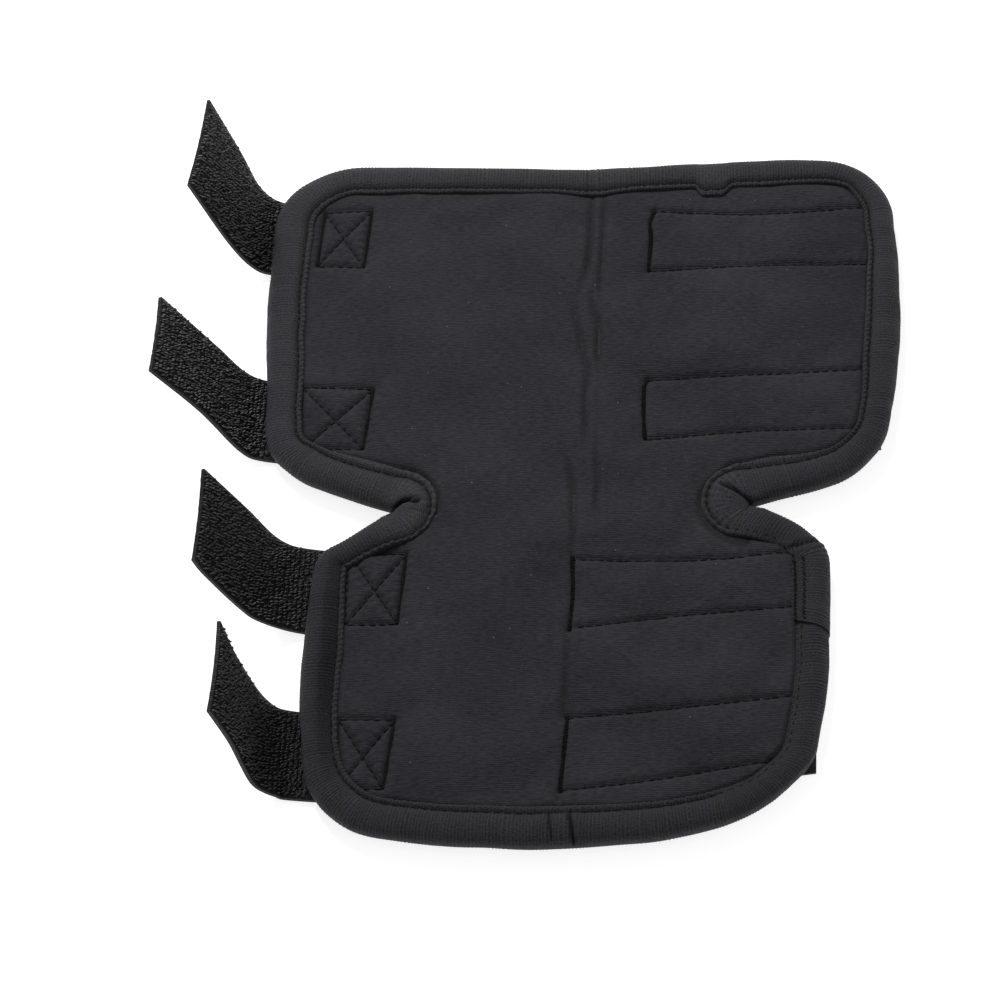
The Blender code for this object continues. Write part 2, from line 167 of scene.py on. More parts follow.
# Each strap: the panel's edge, the inner end of its sewn tab, where the tab drops under the tape, the tab's two
# edges, and the free part's two edges as a y and then points (x, z) out from the panel's edge.
STRAPS = (
    (98.5, 64.0, 80.0, (115.0, 85.0),
     (118.0, ((-105.4, 9.0), (-109.1, 26.7), (-114.8, 51.4))),
     (88.6, ((-104.9, 4.7), (-110.8, 17.2), (-118.9, 45.3)))),
    (95.5, 58.5, 78.0, (43.5, 13.5),
     (45.6, ((-103.3, 6.2), (-110.4, 20.0), (-123.0, 44.2))),
     (15.8, ((-101.7, 6.4), (-110.5, 26.8), (-122.0, 46.8)))),
    (76.0, 43.5, 52.5, (-19.8, -49.8),
     (-17.8, ((-86.1, 6.4), (-93.9, 23.6), (-103.0, 43.3))),
     (-47.4, ((-88.4, 7.5), (-93.7, 15.0), (-101.0, 32.2), (-103.2, 39.8)))),
    (76.0, 43.0, 49.0, (-76.0, -106.0),
     (-74.6, ((-84.4, 7.6), (-89.3, 30.0), (-91.1, 49.4))),
     (-103.5, ((-79.3, 2.8), (-82.1, 4.9), (-84.4, 7.9), (-85.6, 12.2), (-86.5, 20.0), (-87.9, 33.1), (-91.0, 48.6)))),
)
TAPE_THICK = 1.1
# Painted shade of each strap, darker for the straps that face away from the light.
STRAP_SHADE = (0.05, 0.15, 0.45, 0.65)
# Each loop pad: its inner end, where it drops under the tape, its outer end, its y there inside, and its slope.
PADS = (
    (17.5, 85.0, 94.0, 95.0, 0.008),
    (18.0, 79.5, 92.0, 28.5, 0.04),
    (1.5, 56.5, 72.0, -37.7, 0.035),
    (1.0, 55.0, 73.2, -91.4, 0.15),
)
PAD_WIDTH = 29.0


# ---------------------------------------------------------------- small tools


def eased(t):
    return t * t * (3.0 - 2.0 * t)


def smoothstep(value, low, high):
    return eased(np.clip((np.asarray(value, float) - low) / (high - low), 0.0, 1.0))


def ring_noise(share, waves, seed):
    """Smooth noise from -1 to 1 along a closed loop; share runs from 0 to 1 once round."""
    values = np.random.default_rng(seed).uniform(-1.0, 1.0, waves)
    at = np.asarray(share, float) * waves
    low = np.floor(at).astype(int)
    t = eased(at - low)
    return values[low % waves] * (1.0 - t) + values[(low + 1) % waves] * t


def sheet_noise(points, size, seed):
    """Smooth noise from -1 to 1 over the sheet, with lumps about size wide."""
    values = np.random.default_rng(seed).uniform(-1.0, 1.0, (400, 400))
    at = np.asarray(points, float)[..., :2] / size + 60.0
    low = np.floor(at).astype(int)
    t = eased(at - low)
    i, j = low[..., 0] % 399, low[..., 1] % 399
    near = values[i, j] * (1 - t[..., 0]) + values[i + 1, j] * t[..., 0]
    far = values[i, j + 1] * (1 - t[..., 0]) + values[i + 1, j + 1] * t[..., 0]
    return near * (1 - t[..., 1]) + far * t[..., 1]


def measured(line):
    """Length along a line at each of its points."""
    steps = np.linalg.norm(np.diff(line, axis=0), axis=1)
    return np.concatenate([[0.0], np.cumsum(steps)])


def along(line, at):
    """Points of a line at given lengths along it."""
    length = measured(line)
    return np.stack([np.interp(at, length, line[:, k]) for k in range(line.shape[1])], axis=-1)


def curve_through(points, step):
    """A smooth line through a few points, with points a step apart."""
    points = np.asarray(points, float)
    padded = np.vstack([2 * points[0] - points[1], points, 2 * points[-1] - points[-2]])
    line = []
    for a, b, c, d in zip(padded, padded[1:], padded[2:], padded[3:]):
        for t in np.linspace(0.0, 1.0, 16, endpoint=False):
            line.append(0.5 * (2 * b + (c - a) * t + (2 * a - 5 * b + 4 * c - d) * t**2
                               + (3 * b - a - 3 * c + d) * t**3))
    line = np.array(line + [points[-1]])
    total = measured(line)[-1]
    count = max(2, round(total / step) + 1)
    return along(line, np.linspace(0.0, total, count))


def line_field(points, line):
    """Distance to a line from each point, and how far along the line the nearest place is."""
    best = np.full(len(points), 1e9)
    place = np.zeros(len(points))
    start = 0.0
    for a, b in zip(line, line[1:]):
        d = b - a
        length = float(np.hypot(*d))
        t = np.clip(((points - a) @ d) / (length * length), 0.0, 1.0)
        away = np.linalg.norm(points - (a + t[:, None] * d), axis=1)
        nearer = away < best
        best = np.where(nearer, away, best)
        place = np.where(nearer, start + t * length, place)
        start += length
    return best, place


def make_piece(name, verts, faces, material, slot, uv=None, flat_faces=None, normals=None, shade=None):
    """A mesh piece from points in guard millimetres, kept off the ground, with cloth coordinates in millimetres."""
    verts = np.array(verts, float)
    verts[:, 2] = np.maximum(verts[:, 2], LEAST_Z)
    mesh = bpy.data.meshes.new(name)
    mesh.from_pydata((verts * MM + ORIGIN).tolist(), [], [list(f) for f in faces])
    smooth = np.ones(len(mesh.polygons), bool)
    if flat_faces is not None:
        smooth[flat_faces] = False
    mesh.polygons.foreach_set("use_smooth", smooth)
    corner = np.zeros(len(mesh.loops), int)
    mesh.loops.foreach_get("vertex_index", corner)
    layer = mesh.uv_layers.new(name="cloth")
    flat = verts[:, :2] if uv is None else np.asarray(uv, float)
    layer.data.foreach_set("uv", flat[corner].ravel())
    if shade is not None:
        mesh.attributes.new("shade", "FLOAT", "POINT").data.foreach_set("value", shade)
    mesh.materials.append(material)
    mesh.update()
    if normals is not None:
        given = np.zeros((len(mesh.loops), 3))
        upper = np.arange(4 * len(normals[1]))
        given[upper] = normals[0][corner[upper]]
        mesh.normals_split_custom_set(given.tolist())
    piece = bpy.data.objects.new(name, mesh)
    bpy.context.scene.collection.objects.link(piece)
    return piece


def blend_at(piece, bodies, start_x, end_x):
    """Bakes the piece's placement into its mesh; the bodies and the two x are not used."""
    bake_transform(piece)


ZONES = {
    "left": (("left_centre", "left_wing"), -FOLD_X + 4.0, -FOLD_X - 4.0),
    "centre": (("right_centre", "left_centre"), 3.0, -9.0),
    "right": (("right_centre", "right_wing"), FOLD_X - 4.0, FOLD_X + 4.0),
}


def bend_zone(piece, zone):
    blend_at(piece, *ZONES[zone])


# ---------------------------------------------------------------- materials


class Surface:
    """A Principled material whose colour, roughness and relief come from nodes."""

    def __init__(self, name, specular, sheen=0.0):
        self.material = bpy.data.materials.new(name)
        self.material.use_nodes = True
        self.tree = self.material.node_tree
        self.shader = self.tree.nodes["Principled BSDF"]
        self.shader.inputs["Specular IOR Level"].default_value = specular
        self.shader.inputs["Sheen Weight"].default_value = sheen
        self.shader.inputs["Sheen Roughness"].default_value = 0.5
        uv = self.node("ShaderNodeUVMap", uv_map="cloth")
        self.uv = uv.outputs["UV"]
        split = self.node("ShaderNodeSeparateXYZ", {0: self.uv})
        self.u, self.v = split.outputs["X"], split.outputs["Y"]

    def node(self, kind, inputs=None, **settings):
        node = self.tree.nodes.new(kind)
        for key, value in settings.items():
            setattr(node, key, value)
        for key, value in (inputs or {}).items():
            if isinstance(value, bpy.types.NodeSocket):
                self.tree.links.new(value, node.inputs[key])
            else:
                node.inputs[key].default_value = value
        return node

    def math(self, operation, *values):
        return self.node("ShaderNodeMath", dict(enumerate(values)), operation=operation).outputs[0]

    def stretched(self, across, up):
        """The cloth coordinates scaled to so many per millimetre each way."""
        return self.node("ShaderNodeVectorMath", {0: self.uv, 1: (across, up, 1.0)}, operation="MULTIPLY").outputs[0]

    def noise(self, across, up, detail=2.0, rough=0.5):
        return self.node("ShaderNodeTexNoise", {"Vector": self.stretched(across, up), "Scale": 1.0,
                                                "Detail": detail, "Roughness": rough}).outputs["Fac"]

    def wave(self, value, period, shift=0.0):
        """A wave from 0 to 1 of that period."""
        turned = self.math("MULTIPLY_ADD", value, 2 * math.pi / period, shift)
        return self.math("MULTIPLY_ADD", self.math("SINE", turned), 0.5, 0.5)

    def mapped(self, value, low, high, to_low, to_high):
        return self.node("ShaderNodeMapRange", {"Value": value, "From Min": low, "From Max": high,
                                                "To Min": to_low, "To Max": to_high}).outputs["Result"]

    def mixed(self, share, first, second):
        node = self.node("ShaderNodeMix", {"Factor": share}, data_type="RGBA")
        for socket, value in (("A", first), ("B", second)):
            target = [s for s in node.inputs if s.name == socket and s.type == "RGBA"][0]
            if isinstance(value, bpy.types.NodeSocket):
                self.tree.links.new(value, target)
            else:
                target.default_value = (*value, 1.0)
        return [s for s in node.outputs if s.type == "RGBA"][0]

    def lint(self, colour, cell, radius, share, tint):
        """Tiny pale specks of lint scattered over a colour."""
        cells = self.node("ShaderNodeTexVoronoi", {"Vector": self.stretched(1 / cell, 1 / cell), "Scale": 1.0})
        picked = self.node("ShaderNodeSeparateColor", {0: cells.outputs["Color"]}).outputs[0]
        some = self.math("GREATER_THAN", picked, 1.0 - share)
        speck = self.mapped(cells.outputs["Distance"], radius / cell, 0.5 * radius / cell, 0.0, 1.0)
        return self.mixed(self.math("MULTIPLY", speck, some), colour, tint)

    def shaded(self, colour, share):
        """The colour darkened where the mesh's shade attribute says so."""
        shade = self.node("ShaderNodeAttribute", attribute_name="shade").outputs["Fac"]
        return self.mixed(self.math("MULTIPLY", shade, share), colour, (0.0025, 0.0025, 0.003))

    def finish(self, colour, height, depth, roughness):
        bump = self.node("ShaderNodeBump", {"Height": height, "Distance": depth, "Strength": 1.0})
        self.tree.links.new(bump.outputs["Normal"], self.shader.inputs["Normal"])
        self.tree.links.new(colour, self.shader.inputs["Base Color"])
        self.tree.links.new(roughness, self.shader.inputs["Roughness"])
        return self.material


def knit_material(name, dark, light, lint):
    s = Surface(name, 0.15, 0.04)
    streaks = s.noise(0.42, 1.9, 3.0, 0.66)
    fuzz = s.noise(1.5, 2.6, 2.0, 0.65)
    courses = s.wave(s.math("ADD", s.v, s.math("MULTIPLY", s.noise(0.12, 0.3), 0.7)), 0.62)
    cloud = s.noise(0.03, 0.04, 3.0, 0.55)
    tone = s.math("MULTIPLY_ADD", s.math("SUBTRACT", streaks, 0.5), 2.0, cloud)
    tone = s.math("MULTIPLY_ADD", s.math("SUBTRACT", fuzz, 0.5), 1.3, tone)
    colour = s.mixed(s.mapped(tone, 0.1, 0.9, 0.0, 1.0), dark, light)
    if lint:
        colour = s.lint(colour, 2.2, 0.18, 0.45, (0.065, 0.063, 0.062))
        colour = s.lint(colour, 4.9, 0.24, 0.4, (0.16, 0.155, 0.145))
        # Painted shade of the lining's seams, creases and tape edge, from its shade attribute.
        colour = s.shaded(colour, 0.85)
    height = s.math("MULTIPLY_ADD", courses, 0.35, s.math("MULTIPLY_ADD", streaks, 1.0, s.math("MULTIPLY", fuzz, 0.5)))
    return s.finish(colour, height, 0.00016, s.mapped(fuzz, 0.3, 0.7, 0.78, 0.94))


def ribbed_material():
    """u counts ribs along the tape, v is millimetres across it."""
    s = Surface("binding_tape", 0.25, 0.05)
    crest = s.wave(s.u, 1.0, math.pi / 2)
    beads = s.wave(s.math("ADD", s.v, s.math("MULTIPLY", crest, 0.22)), 0.42)
    wander = s.noise(0.35, 0.5, 3.0, 0.6)
    cloud = s.noise(0.02, 0.1, 2.0, 0.5)
    # Rib crests are painted lighter, a painted highlight on each rib; wander and grain are the yarn's own tone.
    tone = s.math("ADD", s.math("MULTIPLY", crest, 0.5), s.math("MULTIPLY", wander, 0.6))
    grain = s.noise(1.0, 2.3, 3.0, 0.75)
    tone = s.math("MULTIPLY_ADD", s.math("SUBTRACT", grain, 0.5), 2.8, tone)
    colour = s.mixed(s.mapped(tone, 0.0, 1.0, 0.0, 1.0), (0.0045, 0.0044, 0.0064), (0.0385, 0.0375, 0.0465))
    colour = s.mixed(s.mapped(cloud, 0.35, 0.75, 0.0, 0.35), colour, (0.0150, 0.0147, 0.0180))
    colour = s.shaded(s.lint(colour, 3.2, 0.2, 0.3, (0.09, 0.09, 0.09)), 0.8)
    # Where the tape carries painted shade its specular is lowered too, so it looks darker still.
    shade = s.node("ShaderNodeAttribute", attribute_name="shade").outputs["Fac"]
    gloss = s.math("MAXIMUM", s.math("MULTIPLY_ADD", shade, -0.4, 0.27), 0.03)
    s.tree.links.new(gloss, s.shader.inputs["Specular IOR Level"])
    height = s.math("ADD", s.math("MULTIPLY", beads, 0.7), s.math("MULTIPLY", grain, 2.4))
    return s.finish(colour, height, 0.00016, s.mapped(wander, 0.3, 0.7, 0.55, 0.75))


def thread_material():
    s = Surface("thread", 0.2)
    strand = s.wave(s.math("ADD", s.u, s.v), 0.5)
    colour = s.mixed(strand, (0.002, 0.002, 0.0025), (0.008, 0.008, 0.009))
    return s.finish(colour, strand, 0.00005, s.mapped(s.noise(1.0, 1.0), 0.3, 0.7, 0.6, 0.8))


def webbing_material():
    s = Surface("hook_tape", 0.25)
    warp = s.wave(s.v, 0.75)
    weft = s.wave(s.math("ADD", s.u, s.math("MULTIPLY", s.math("GREATER_THAN", warp, 0.5), 0.35)), 0.7)
    fuzz = s.noise(1.3, 1.3, 3.0, 0.6)
    weave = s.math("MULTIPLY", warp, weft)
    selvage = s.mapped(s.math("ABSOLUTE", s.math("SUBTRACT", s.u, STRAP_WIDTH / 2)), 14.1, 14.5, 0.0, 1.0)
    colour = s.mixed(s.math("MULTIPLY", weave, fuzz), (0.002, 0.002, 0.0024), (0.018, 0.018, 0.021))
    colour = s.mixed(s.math("MULTIPLY", selvage, 0.35), colour, (0.042, 0.042, 0.047))
    colour = s.shaded(colour, 1.0)
    height = s.math("ADD", weave, s.math("MULTIPLY", fuzz, 0.6))
    return s.finish(colour, height, 0.0002, s.mapped(fuzz, 0.3, 0.7, 0.45, 0.7))


def hook_material():
    s = Surface("hook_nylon", 0.6)
    tint = s.noise(0.9, 0.9, 2.0, 0.6)
    # The pale tone of many hooks is painted highlight, standing in for glints on the dark nylon.
    colour = s.mixed(s.mapped(tint, 0.35, 0.68, 0.0, 1.0), (0.006, 0.006, 0.007), (0.24, 0.24, 0.25))
    colour = s.shaded(colour, 1.0)
    return s.finish(colour, tint, 0.00005, s.mapped(tint, 0.3, 0.7, 0.35, 0.55))


def loop_material():
    s = Surface("loop_tape", 0.25, 0.3)
    pile = s.noise(2.2, 2.2, 4.0, 0.7)
    rows = s.wave(s.v, 1.3)
    colour = s.mixed(s.mapped(pile, 0.3, 0.7, 0.0, 1.0), (0.008, 0.008, 0.010), (0.03, 0.03, 0.034))
    return s.finish(colour, s.math("MULTIPLY_ADD", rows, 0.3, pile), 0.0004, s.mapped(pile, 0.3, 0.7, 0.8, 0.95))


def foam_material():
    s = Surface("foam_core", 0.3)
    cells = s.node("ShaderNodeTexVoronoi", {"Vector": s.stretched(1.6, 1.6), "Scale": 1.0}).outputs["Distance"]
    colour = s.mixed(s.mapped(cells, 0.0, 0.6, 0.0, 1.0), (0.006, 0.006, 0.007), (0.02, 0.02, 0.022))
    return s.finish(colour, cells, 0.0003, s.mapped(cells, 0.0, 0.6, 0.95, 0.8))


MATERIALS = {
    "lining_knit": knit_material("lining_knit", (0.0120, 0.0116, 0.0152), (0.0345, 0.0334, 0.0400), True),
    "outer_cover": knit_material("outer_cover", (0.014, 0.014, 0.017), (0.025, 0.025, 0.029), False),
    "binding_tape": ribbed_material(),
    "thread": thread_material(),
    "hook_tape": webbing_material(),
    "hook_nylon": hook_material(),
    "loop_tape": loop_material(),
    "foam_core": foam_material(),
}


# ---------------------------------------------------------------- outline of the sheet


def half_outline():
    """Points and inward normals of the right half, from the top centre to the bottom centre."""
    chain = [np.array(p[:2], float) for p in (TOP_CENTRE, *OUTLINE_CORNERS, BOTTOM_CENTRE)]
    points, normals = [], []
    start = chain[0]

    def straight(first, last, normal):
        steps = max(2, math.ceil(np.linalg.norm(last - first) / 0.5))
        for k in range(steps):
            points.append(first + (last - first) * k / steps)
            normals.append(normal)

    for before, corner, after, (_, _, radius) in zip(chain, chain[1:], chain[2:], OUTLINE_CORNERS):
        back = (before - corner) / np.linalg.norm(before - corner)
        on = (after - corner) / np.linalg.norm(after - corner)
        opening = math.acos(float(back @ on))
        reach = radius / math.tan(opening / 2)
        centre = corner + (back + on) / np.linalg.norm(back + on) * radius / math.sin(opening / 2)
        inside = 1.0 if back[1] * on[0] - back[0] * on[1] < 0 else -1.0
        first, last = corner + back * reach, corner + on * reach
        straight(start, first, np.array([-back[1], back[0]]))
        from_angle = math.atan2(first[1] - centre[1], first[0] - centre[0])
        to_angle = math.atan2(last[1] - centre[1], last[0] - centre[0])
        turn = (to_angle - from_angle + math.pi) % (2 * math.pi) - math.pi
        steps = max(12, math.ceil(abs(math.degrees(turn)) / 3))
        for k in range(steps + 1):
            angle = from_angle + turn * k / steps
            out = np.array([math.cos(angle), math.sin(angle)])
            points.append(centre + radius * out)
            normals.append(-out * inside)
        start = last
    straight(start, chain[-1], np.array([0.0, 1.0]))
    points.append(chain[-1])
    normals.append(np.array([0.0, 1.0]))
    return np.array(points), np.array(normals)


def closed_outline():
    """The whole outline, clockwise from the top centre, sampled evenly along the middle of the tape."""
    points, normals = half_outline()
    mirror = np.array([-1.0, 1.0])
    points = np.vstack([points, points[-2::-1] * mirror])
    normals = np.vstack([normals, normals[-2::-1] * mirror])
    length = measured(points + 4.5 * normals)
    count = round(length[-1] / (RIB / RIB_SAMPLES))
    at = np.arange(count) * length[-1] / count
    points = np.stack([np.interp(at, length, points[:, k]) for k in range(2)], axis=-1)
    normals = np.stack([np.interp(at, length, normals[:, k]) for k in range(2)], axis=-1)
    normals /= np.linalg.norm(normals, axis=1)[:, None]
    share = np.arange(count) / count
    stops = [(np.argmin(np.hypot(points[:, 0] - x, points[:, 1] - y)) / count, shift) for x, y, shift in EDGE_SHIFTS]
    stops.sort()
    shift = np.interp(share, [at for at, _ in stops], [out for _, out in stops], period=1.0)
    for _ in range(60):
        shift = (np.roll(shift, 2) + 2 * shift + np.roll(shift, -2)) / 4
    points = points - normals * shift[:, None]
    sway = 0.35 * ring_noise(share, 26, 3) + 0.15 * ring_noise(share, 90, 4)
    return points + normals * sway[:, None], normals, shift


EDGE, INWARD, OUTWARD = closed_outline()
EDGE_COUNT = len(EDGE)
SHARE = np.arange(EDGE_COUNT) / EDGE_COUNT


def edge_index(x, y):
    """The place on the outline nearest to a point."""
    return int(np.argmin(np.hypot(EDGE[:, 0] - x, EDGE[:, 1] - y)))


def near_edge(x, y, reach):
    """A bump from 0 to 1 round a place on the outline, reach millimetres to each side along the tape."""
    away = np.abs(np.arange(EDGE_COUNT) - edge_index(x, y))
    away = np.minimum(away, EDGE_COUNT - away) * RIB / RIB_SAMPLES
    return 1.0 - smoothstep(away, 0.0, reach)


def tape_width():
    """The tape's width along the outline, the share of it where its stitching sinks in, and how flush its lip lies."""
    stops = sorted((edge_index(x, y) / EDGE_COUNT, width) for (x, y), width in TAPE_WIDTHS)
    width = np.interp(SHARE, [at for at, _ in stops], [w for _, w in stops], period=1.0)
    width += np.maximum(OUTWARD, 0.0) * smoothstep(EDGE[:, 1], 10.0, 30.0)
    width += 0.3 * ring_noise(SHARE, 34, 5) + 0.15 * ring_noise(SHARE, 120, 6)
    width += 1.3 * near_edge(3.0, 123.5, 14.0)
    rising = smoothstep(EDGE[:, 0], 33.5, 36.5) * (1.0 - smoothstep(EDGE[:, 0], 42.0, 46.0))
    width += 3.4 * rising * (EDGE[:, 1] > 100)
    index = np.arange(EDGE_COUNT)
    start, stop = edge_index(54, -10), edge_index(45, -121.5)
    flush = 0.85 * smoothstep(index, start, start + 32) * (1.0 - smoothstep(index, stop - 40, stop))
    groove = GROOVE_AT - 0.04 * near_edge(0, -124, 60.0)
    for side in (-1, 1):
        groove += 0.07 * near_edge(side * 52, -8.0, 13.0) - 0.09 * near_edge(side * 66, -2.5, 20.0)
    return width, groove, flush


WIDTH, GROOVE, FLUSH = tape_width()


# ---------------------------------------------------------------- heights of the sheet


_tree = KDTree(EDGE_COUNT)
for _index, _point in enumerate(EDGE):
    _tree.insert((_point[0], _point[1], 0.0), _index)
_tree.balance()


def edge_field(points):
    """How far inside the outline each point is, the inward normal there, and the place on the outline."""
    nearest = np.array([_tree.find((p[0], p[1], 0.0))[1] for p in points])
    offset = points - EDGE[nearest]
    away = np.linalg.norm(offset, axis=1)
    inward = INWARD[nearest]
    side = np.where((offset * inward).sum(axis=1) >= 0, 1.0, -1.0)
    return away * side, inward, nearest


def box_lines():
    """The seams of each box with a cross in it."""
    for a, b, c, d in (np.array(box, float) for box in BOX_STITCHES):
        yield [np.array([a, b, c, d, a]), np.array([a, c]), np.array([b, d])]


SEAMS = [curve_through(line, 2.0) for pad in PAD_SEAMS for line in pad]
BARS = [curve_through(line, 1.0) for line in PAD_BARS]
BOXES = list(box_lines())
BOX_BARS = [[box[0][1:3]] for box in BOXES]
BOX_BARS[0].append(BOXES[0][0][[0, 3]])
THIN_SEAMS = SEAMS + [line for box in BOXES for line in box]
THICK_SEAMS = BARS + [bar for bars in BOX_BARS for bar in bars]


def nearest_seam(points, lines):
    """Distance to the nearest of some lines, and the place along it."""
    away, place = np.full(len(points), 1e9), np.zeros(len(points))
    for line in lines:
        found, at = line_field(points, line)
        place = np.where(found < away, at, place)
        away = np.minimum(away, found)
    return away, place


class Grid:
    """A square grid over the sheet with its distance from the outline."""

    def __init__(self, step, margin):
        self.step, self.margin = step, margin
        half_x, half_y = math.ceil(104 / step), math.ceil(128 / step)
        self.xs = np.arange(-half_x, half_x + 1) * step
        self.ys = np.arange(-half_y, half_y + 1) * step
        gx, gy = np.meshgrid(self.xs, self.ys, indexing="ij")
        self.shape = gx.shape
        points = np.stack([gx.ravel(), gy.ravel()], axis=-1)
        self.inside, inward, _ = edge_field(points)
        near = np.abs(self.inside - margin) < 1.5 * step
        snap = (self.inside < margin) & near
        self.points = points + inward * np.where(snap, margin - self.inside, 0.0)[:, None]
        self.rest = points

    def cells(self, low_x, high_x):
        """The corner indices of each cell that holds cloth between two x."""
        columns, rows = self.shape
        index = np.arange(columns * rows).reshape(columns, rows)
        deep = (self.inside >= self.margin).reshape(columns, rows)
        some = deep[:-1, :-1] | deep[1:, :-1] | deep[1:, 1:] | deep[:-1, 1:]
        middle = self.xs[:-1] + self.step / 2
        some &= ((middle > low_x) & (middle < high_x))[:, None]
        i, j = np.nonzero(some)
        return np.stack([index[i, j], index[i + 1, j], index[i + 1, j + 1], index[i, j + 1]], axis=-1)

    def slab(self, low_x, high_x, top, bottom):
        """A closed sheet of the cells between two x, from heights at the grid's points."""
        cells = self.cells(low_x, high_x)
        used, local = np.unique(cells, return_inverse=True)
        local = local.reshape(cells.shape)
        count = len(used)
        verts = np.vstack([np.column_stack([self.points[used], top[used]]),
                           np.column_stack([self.points[used], bottom[used]])])
        edges = np.vstack([local[:, [k, (k + 1) % 4]] for k in range(4)])
        key = edges[:, 0] * count + edges[:, 1]
        back = edges[:, 1] * count + edges[:, 0]
        rim = edges[~np.isin(key, back)]
        walls = np.column_stack([rim[:, 1], rim[:, 0], rim[:, 0] + count, rim[:, 1] + count])
        faces = np.vstack([local, local[:, ::-1] + count, walls])
        flat = np.arange(len(cells), len(faces))
        return verts, faces, flat, used

    def normals(self, height):
        """The upward normal of a height field at each point of the grid."""
        table = height.reshape(self.shape)
        dx, dy = np.gradient(table, self.step)
        normal = np.stack([-dx, -dy, np.ones_like(dx)], axis=-1)
        return (normal / np.linalg.norm(normal, axis=-1)[..., None]).reshape(-1, 3)


def cloth_heights(step=2.0, pressure=4.0):
    """How the lining swells between its seams: a thin cushion, held at its seams and under the tape, blown up."""
    grid = Grid(step, 7.0)
    points = grid.points
    held = (grid.inside < 9.6) | (nearest_seam(points, THIN_SEAMS + THICK_SEAMS)[0] < 0.62 * step)
    thick = 3.0
    flat = np.zeros(len(points))
    verts, faces, _, used = grid.slab(-200, 200, flat + 2 * thick, flat + thick)
    piece = make_piece("swelling", verts, faces, MATERIALS["lining_knit"], "lining_knit")
    count = len(verts) // 2
    pins = [int(k) for k in np.nonzero(held[used])[0]] + list(range(count, 2 * count))
    group = piece.vertex_groups.new(name="held")
    group.add(pins, 1.0, "REPLACE")
    cloth = piece.modifiers.new("swell", "CLOTH")
    settings = cloth.settings
    settings.quality = 5
    settings.mass = 0.15
    settings.tension_stiffness = 12.0
    settings.compression_stiffness = 12.0
    settings.shear_stiffness = 6.0
    settings.bending_stiffness = 0.6
    settings.shrink_min = -0.015
    settings.shrink_max = -0.015
    settings.use_pressure = True
    settings.uniform_pressure_force = pressure
    settings.vertex_group_mass = "held"
    settings.effector_weights.gravity = 0.0
    cloth.collision_settings.use_collision = False
    scene = bpy.context.scene
    for number in range(1, 21):
        scene.frame_set(number)
    shaped = piece.evaluated_get(bpy.context.evaluated_depsgraph_get()).to_mesh()
    co = np.zeros(len(shaped.vertices) * 3)
    shaped.vertices.foreach_get("co", co)
    lift = co.reshape(-1, 3)[:count, 2] / MM - 2 * thick
    mesh = piece.data
    bpy.data.objects.remove(piece)
    bpy.data.meshes.remove(mesh)
    scene.frame_set(1)
    field = np.zeros(len(points))
    field[used] = lift
    return grid, field


def bilinear(grid, field, points):
    """A grid's field at any points."""
    table = field.reshape(grid.shape)
    at = (points - np.array([grid.xs[0], grid.ys[0]])) / grid.step
    low = np.clip(np.floor(at).astype(int), 0, np.array(grid.shape) - 2)
    t = np.clip(at - low, 0.0, 1.0)
    i, j = low[:, 0], low[:, 1]
    near = table[i, j] * (1 - t[:, 0]) + table[i + 1, j] * t[:, 0]
    far = table[i, j + 1] * (1 - t[:, 0]) + table[i + 1, j + 1] * t[:, 0]
    return near * (1 - t[:, 1]) + far * t[:, 1]


def blurred(field, shape, times):
    table = field.reshape(shape).copy()
    for _ in range(times):
        table[1:-1] = (table[:-2] + 2 * table[1:-1] + table[2:]) / 4
        table[:, 1:-1] = (table[:, :-2] + 2 * table[:, 1:-1] + table[:, 2:]) / 4
    return table.ravel()


def lining_top(grid):
    """The height of the lining's upper face at the grid's points, and its painted shade in seams, creases and along
    the tape.
    """
    points, inside = grid.rest, grid.inside
    thin, place = nearest_seam(points, THIN_SEAMS)
    thick, _ = nearest_seam(points, THICK_SEAMS)
    seam = np.minimum(thin, thick)
    _, _, nearest = edge_field(points)
    past_tape = inside - WIDTH[nearest]
    swell = 1.0 * (1 - np.exp(-np.maximum(past_tape, 0) / 6)) * (1 - np.exp(-seam / 4))
    coarse, lift = cloth_heights()
    swell = 0.5 * swell + 0.6 * np.clip(blurred(bilinear(coarse, lift, points), grid.shape, 8), -0.5, 1.5)
    height = LINING_Z + (0.5 + 0.3 * FLUSH[nearest]) * smoothstep(past_tape, -0.9, 0.8)
    height += swell * smoothstep(past_tape, -1.0, 1.5)
    height += (0.28 * sheet_noise(points, 34.0, 21) + 0.14 * sheet_noise(points, 13.0, 22)
               + 0.05 * sheet_noise(points, 5.0, 23)) * smoothstep(past_tape, 0.0, 8.0)
    height -= 0.55 * np.exp(-(thin / 0.65) ** 2) + 0.25 * np.exp(-(seam / 1.8) ** 2)
    height -= 0.45 * np.exp(-(thick / 0.7) ** 2)
    # Painted shade in the seams' grooves and in the shadow of the tape's lip.
    shade = np.maximum(0.35 * np.exp(-(thin / 0.6) ** 2), 0.75 * np.exp(-(thick / 0.65) ** 2))
    shade = np.maximum(shade, 0.5 * np.exp(-(np.maximum(past_tape, 0) / 0.6) ** 2))
    pucker = np.exp(-((seam - 1.6) / 1.5) ** 2)
    height += 0.14 * pucker * np.sin(place * 2 * math.pi / STITCH)
    height += 0.10 * pucker * sheet_noise(points, 2.6, 24)
    for line, depth, half in CREASES:
        path = curve_through(line, 1.5)
        away, at = line_field(points, path)
        total = measured(path)[-1]
        fade = smoothstep(at, 0.0, 9.0) * (1 - smoothstep(at, total - 9.0, total))
        dip = np.exp(-(away / (0.75 * half)) ** 2)
        height -= 1.5 * depth * (0.35 + 0.65 * fade) * dip
        height += 0.40 * depth * fade * np.exp(-((away - 2.2) / 1.3) ** 2)
        # Painted shade in the creases.
        shade = np.maximum(shade, 0.6 * depth * (0.3 + 0.7 * fade) * dip)
    return height, shade


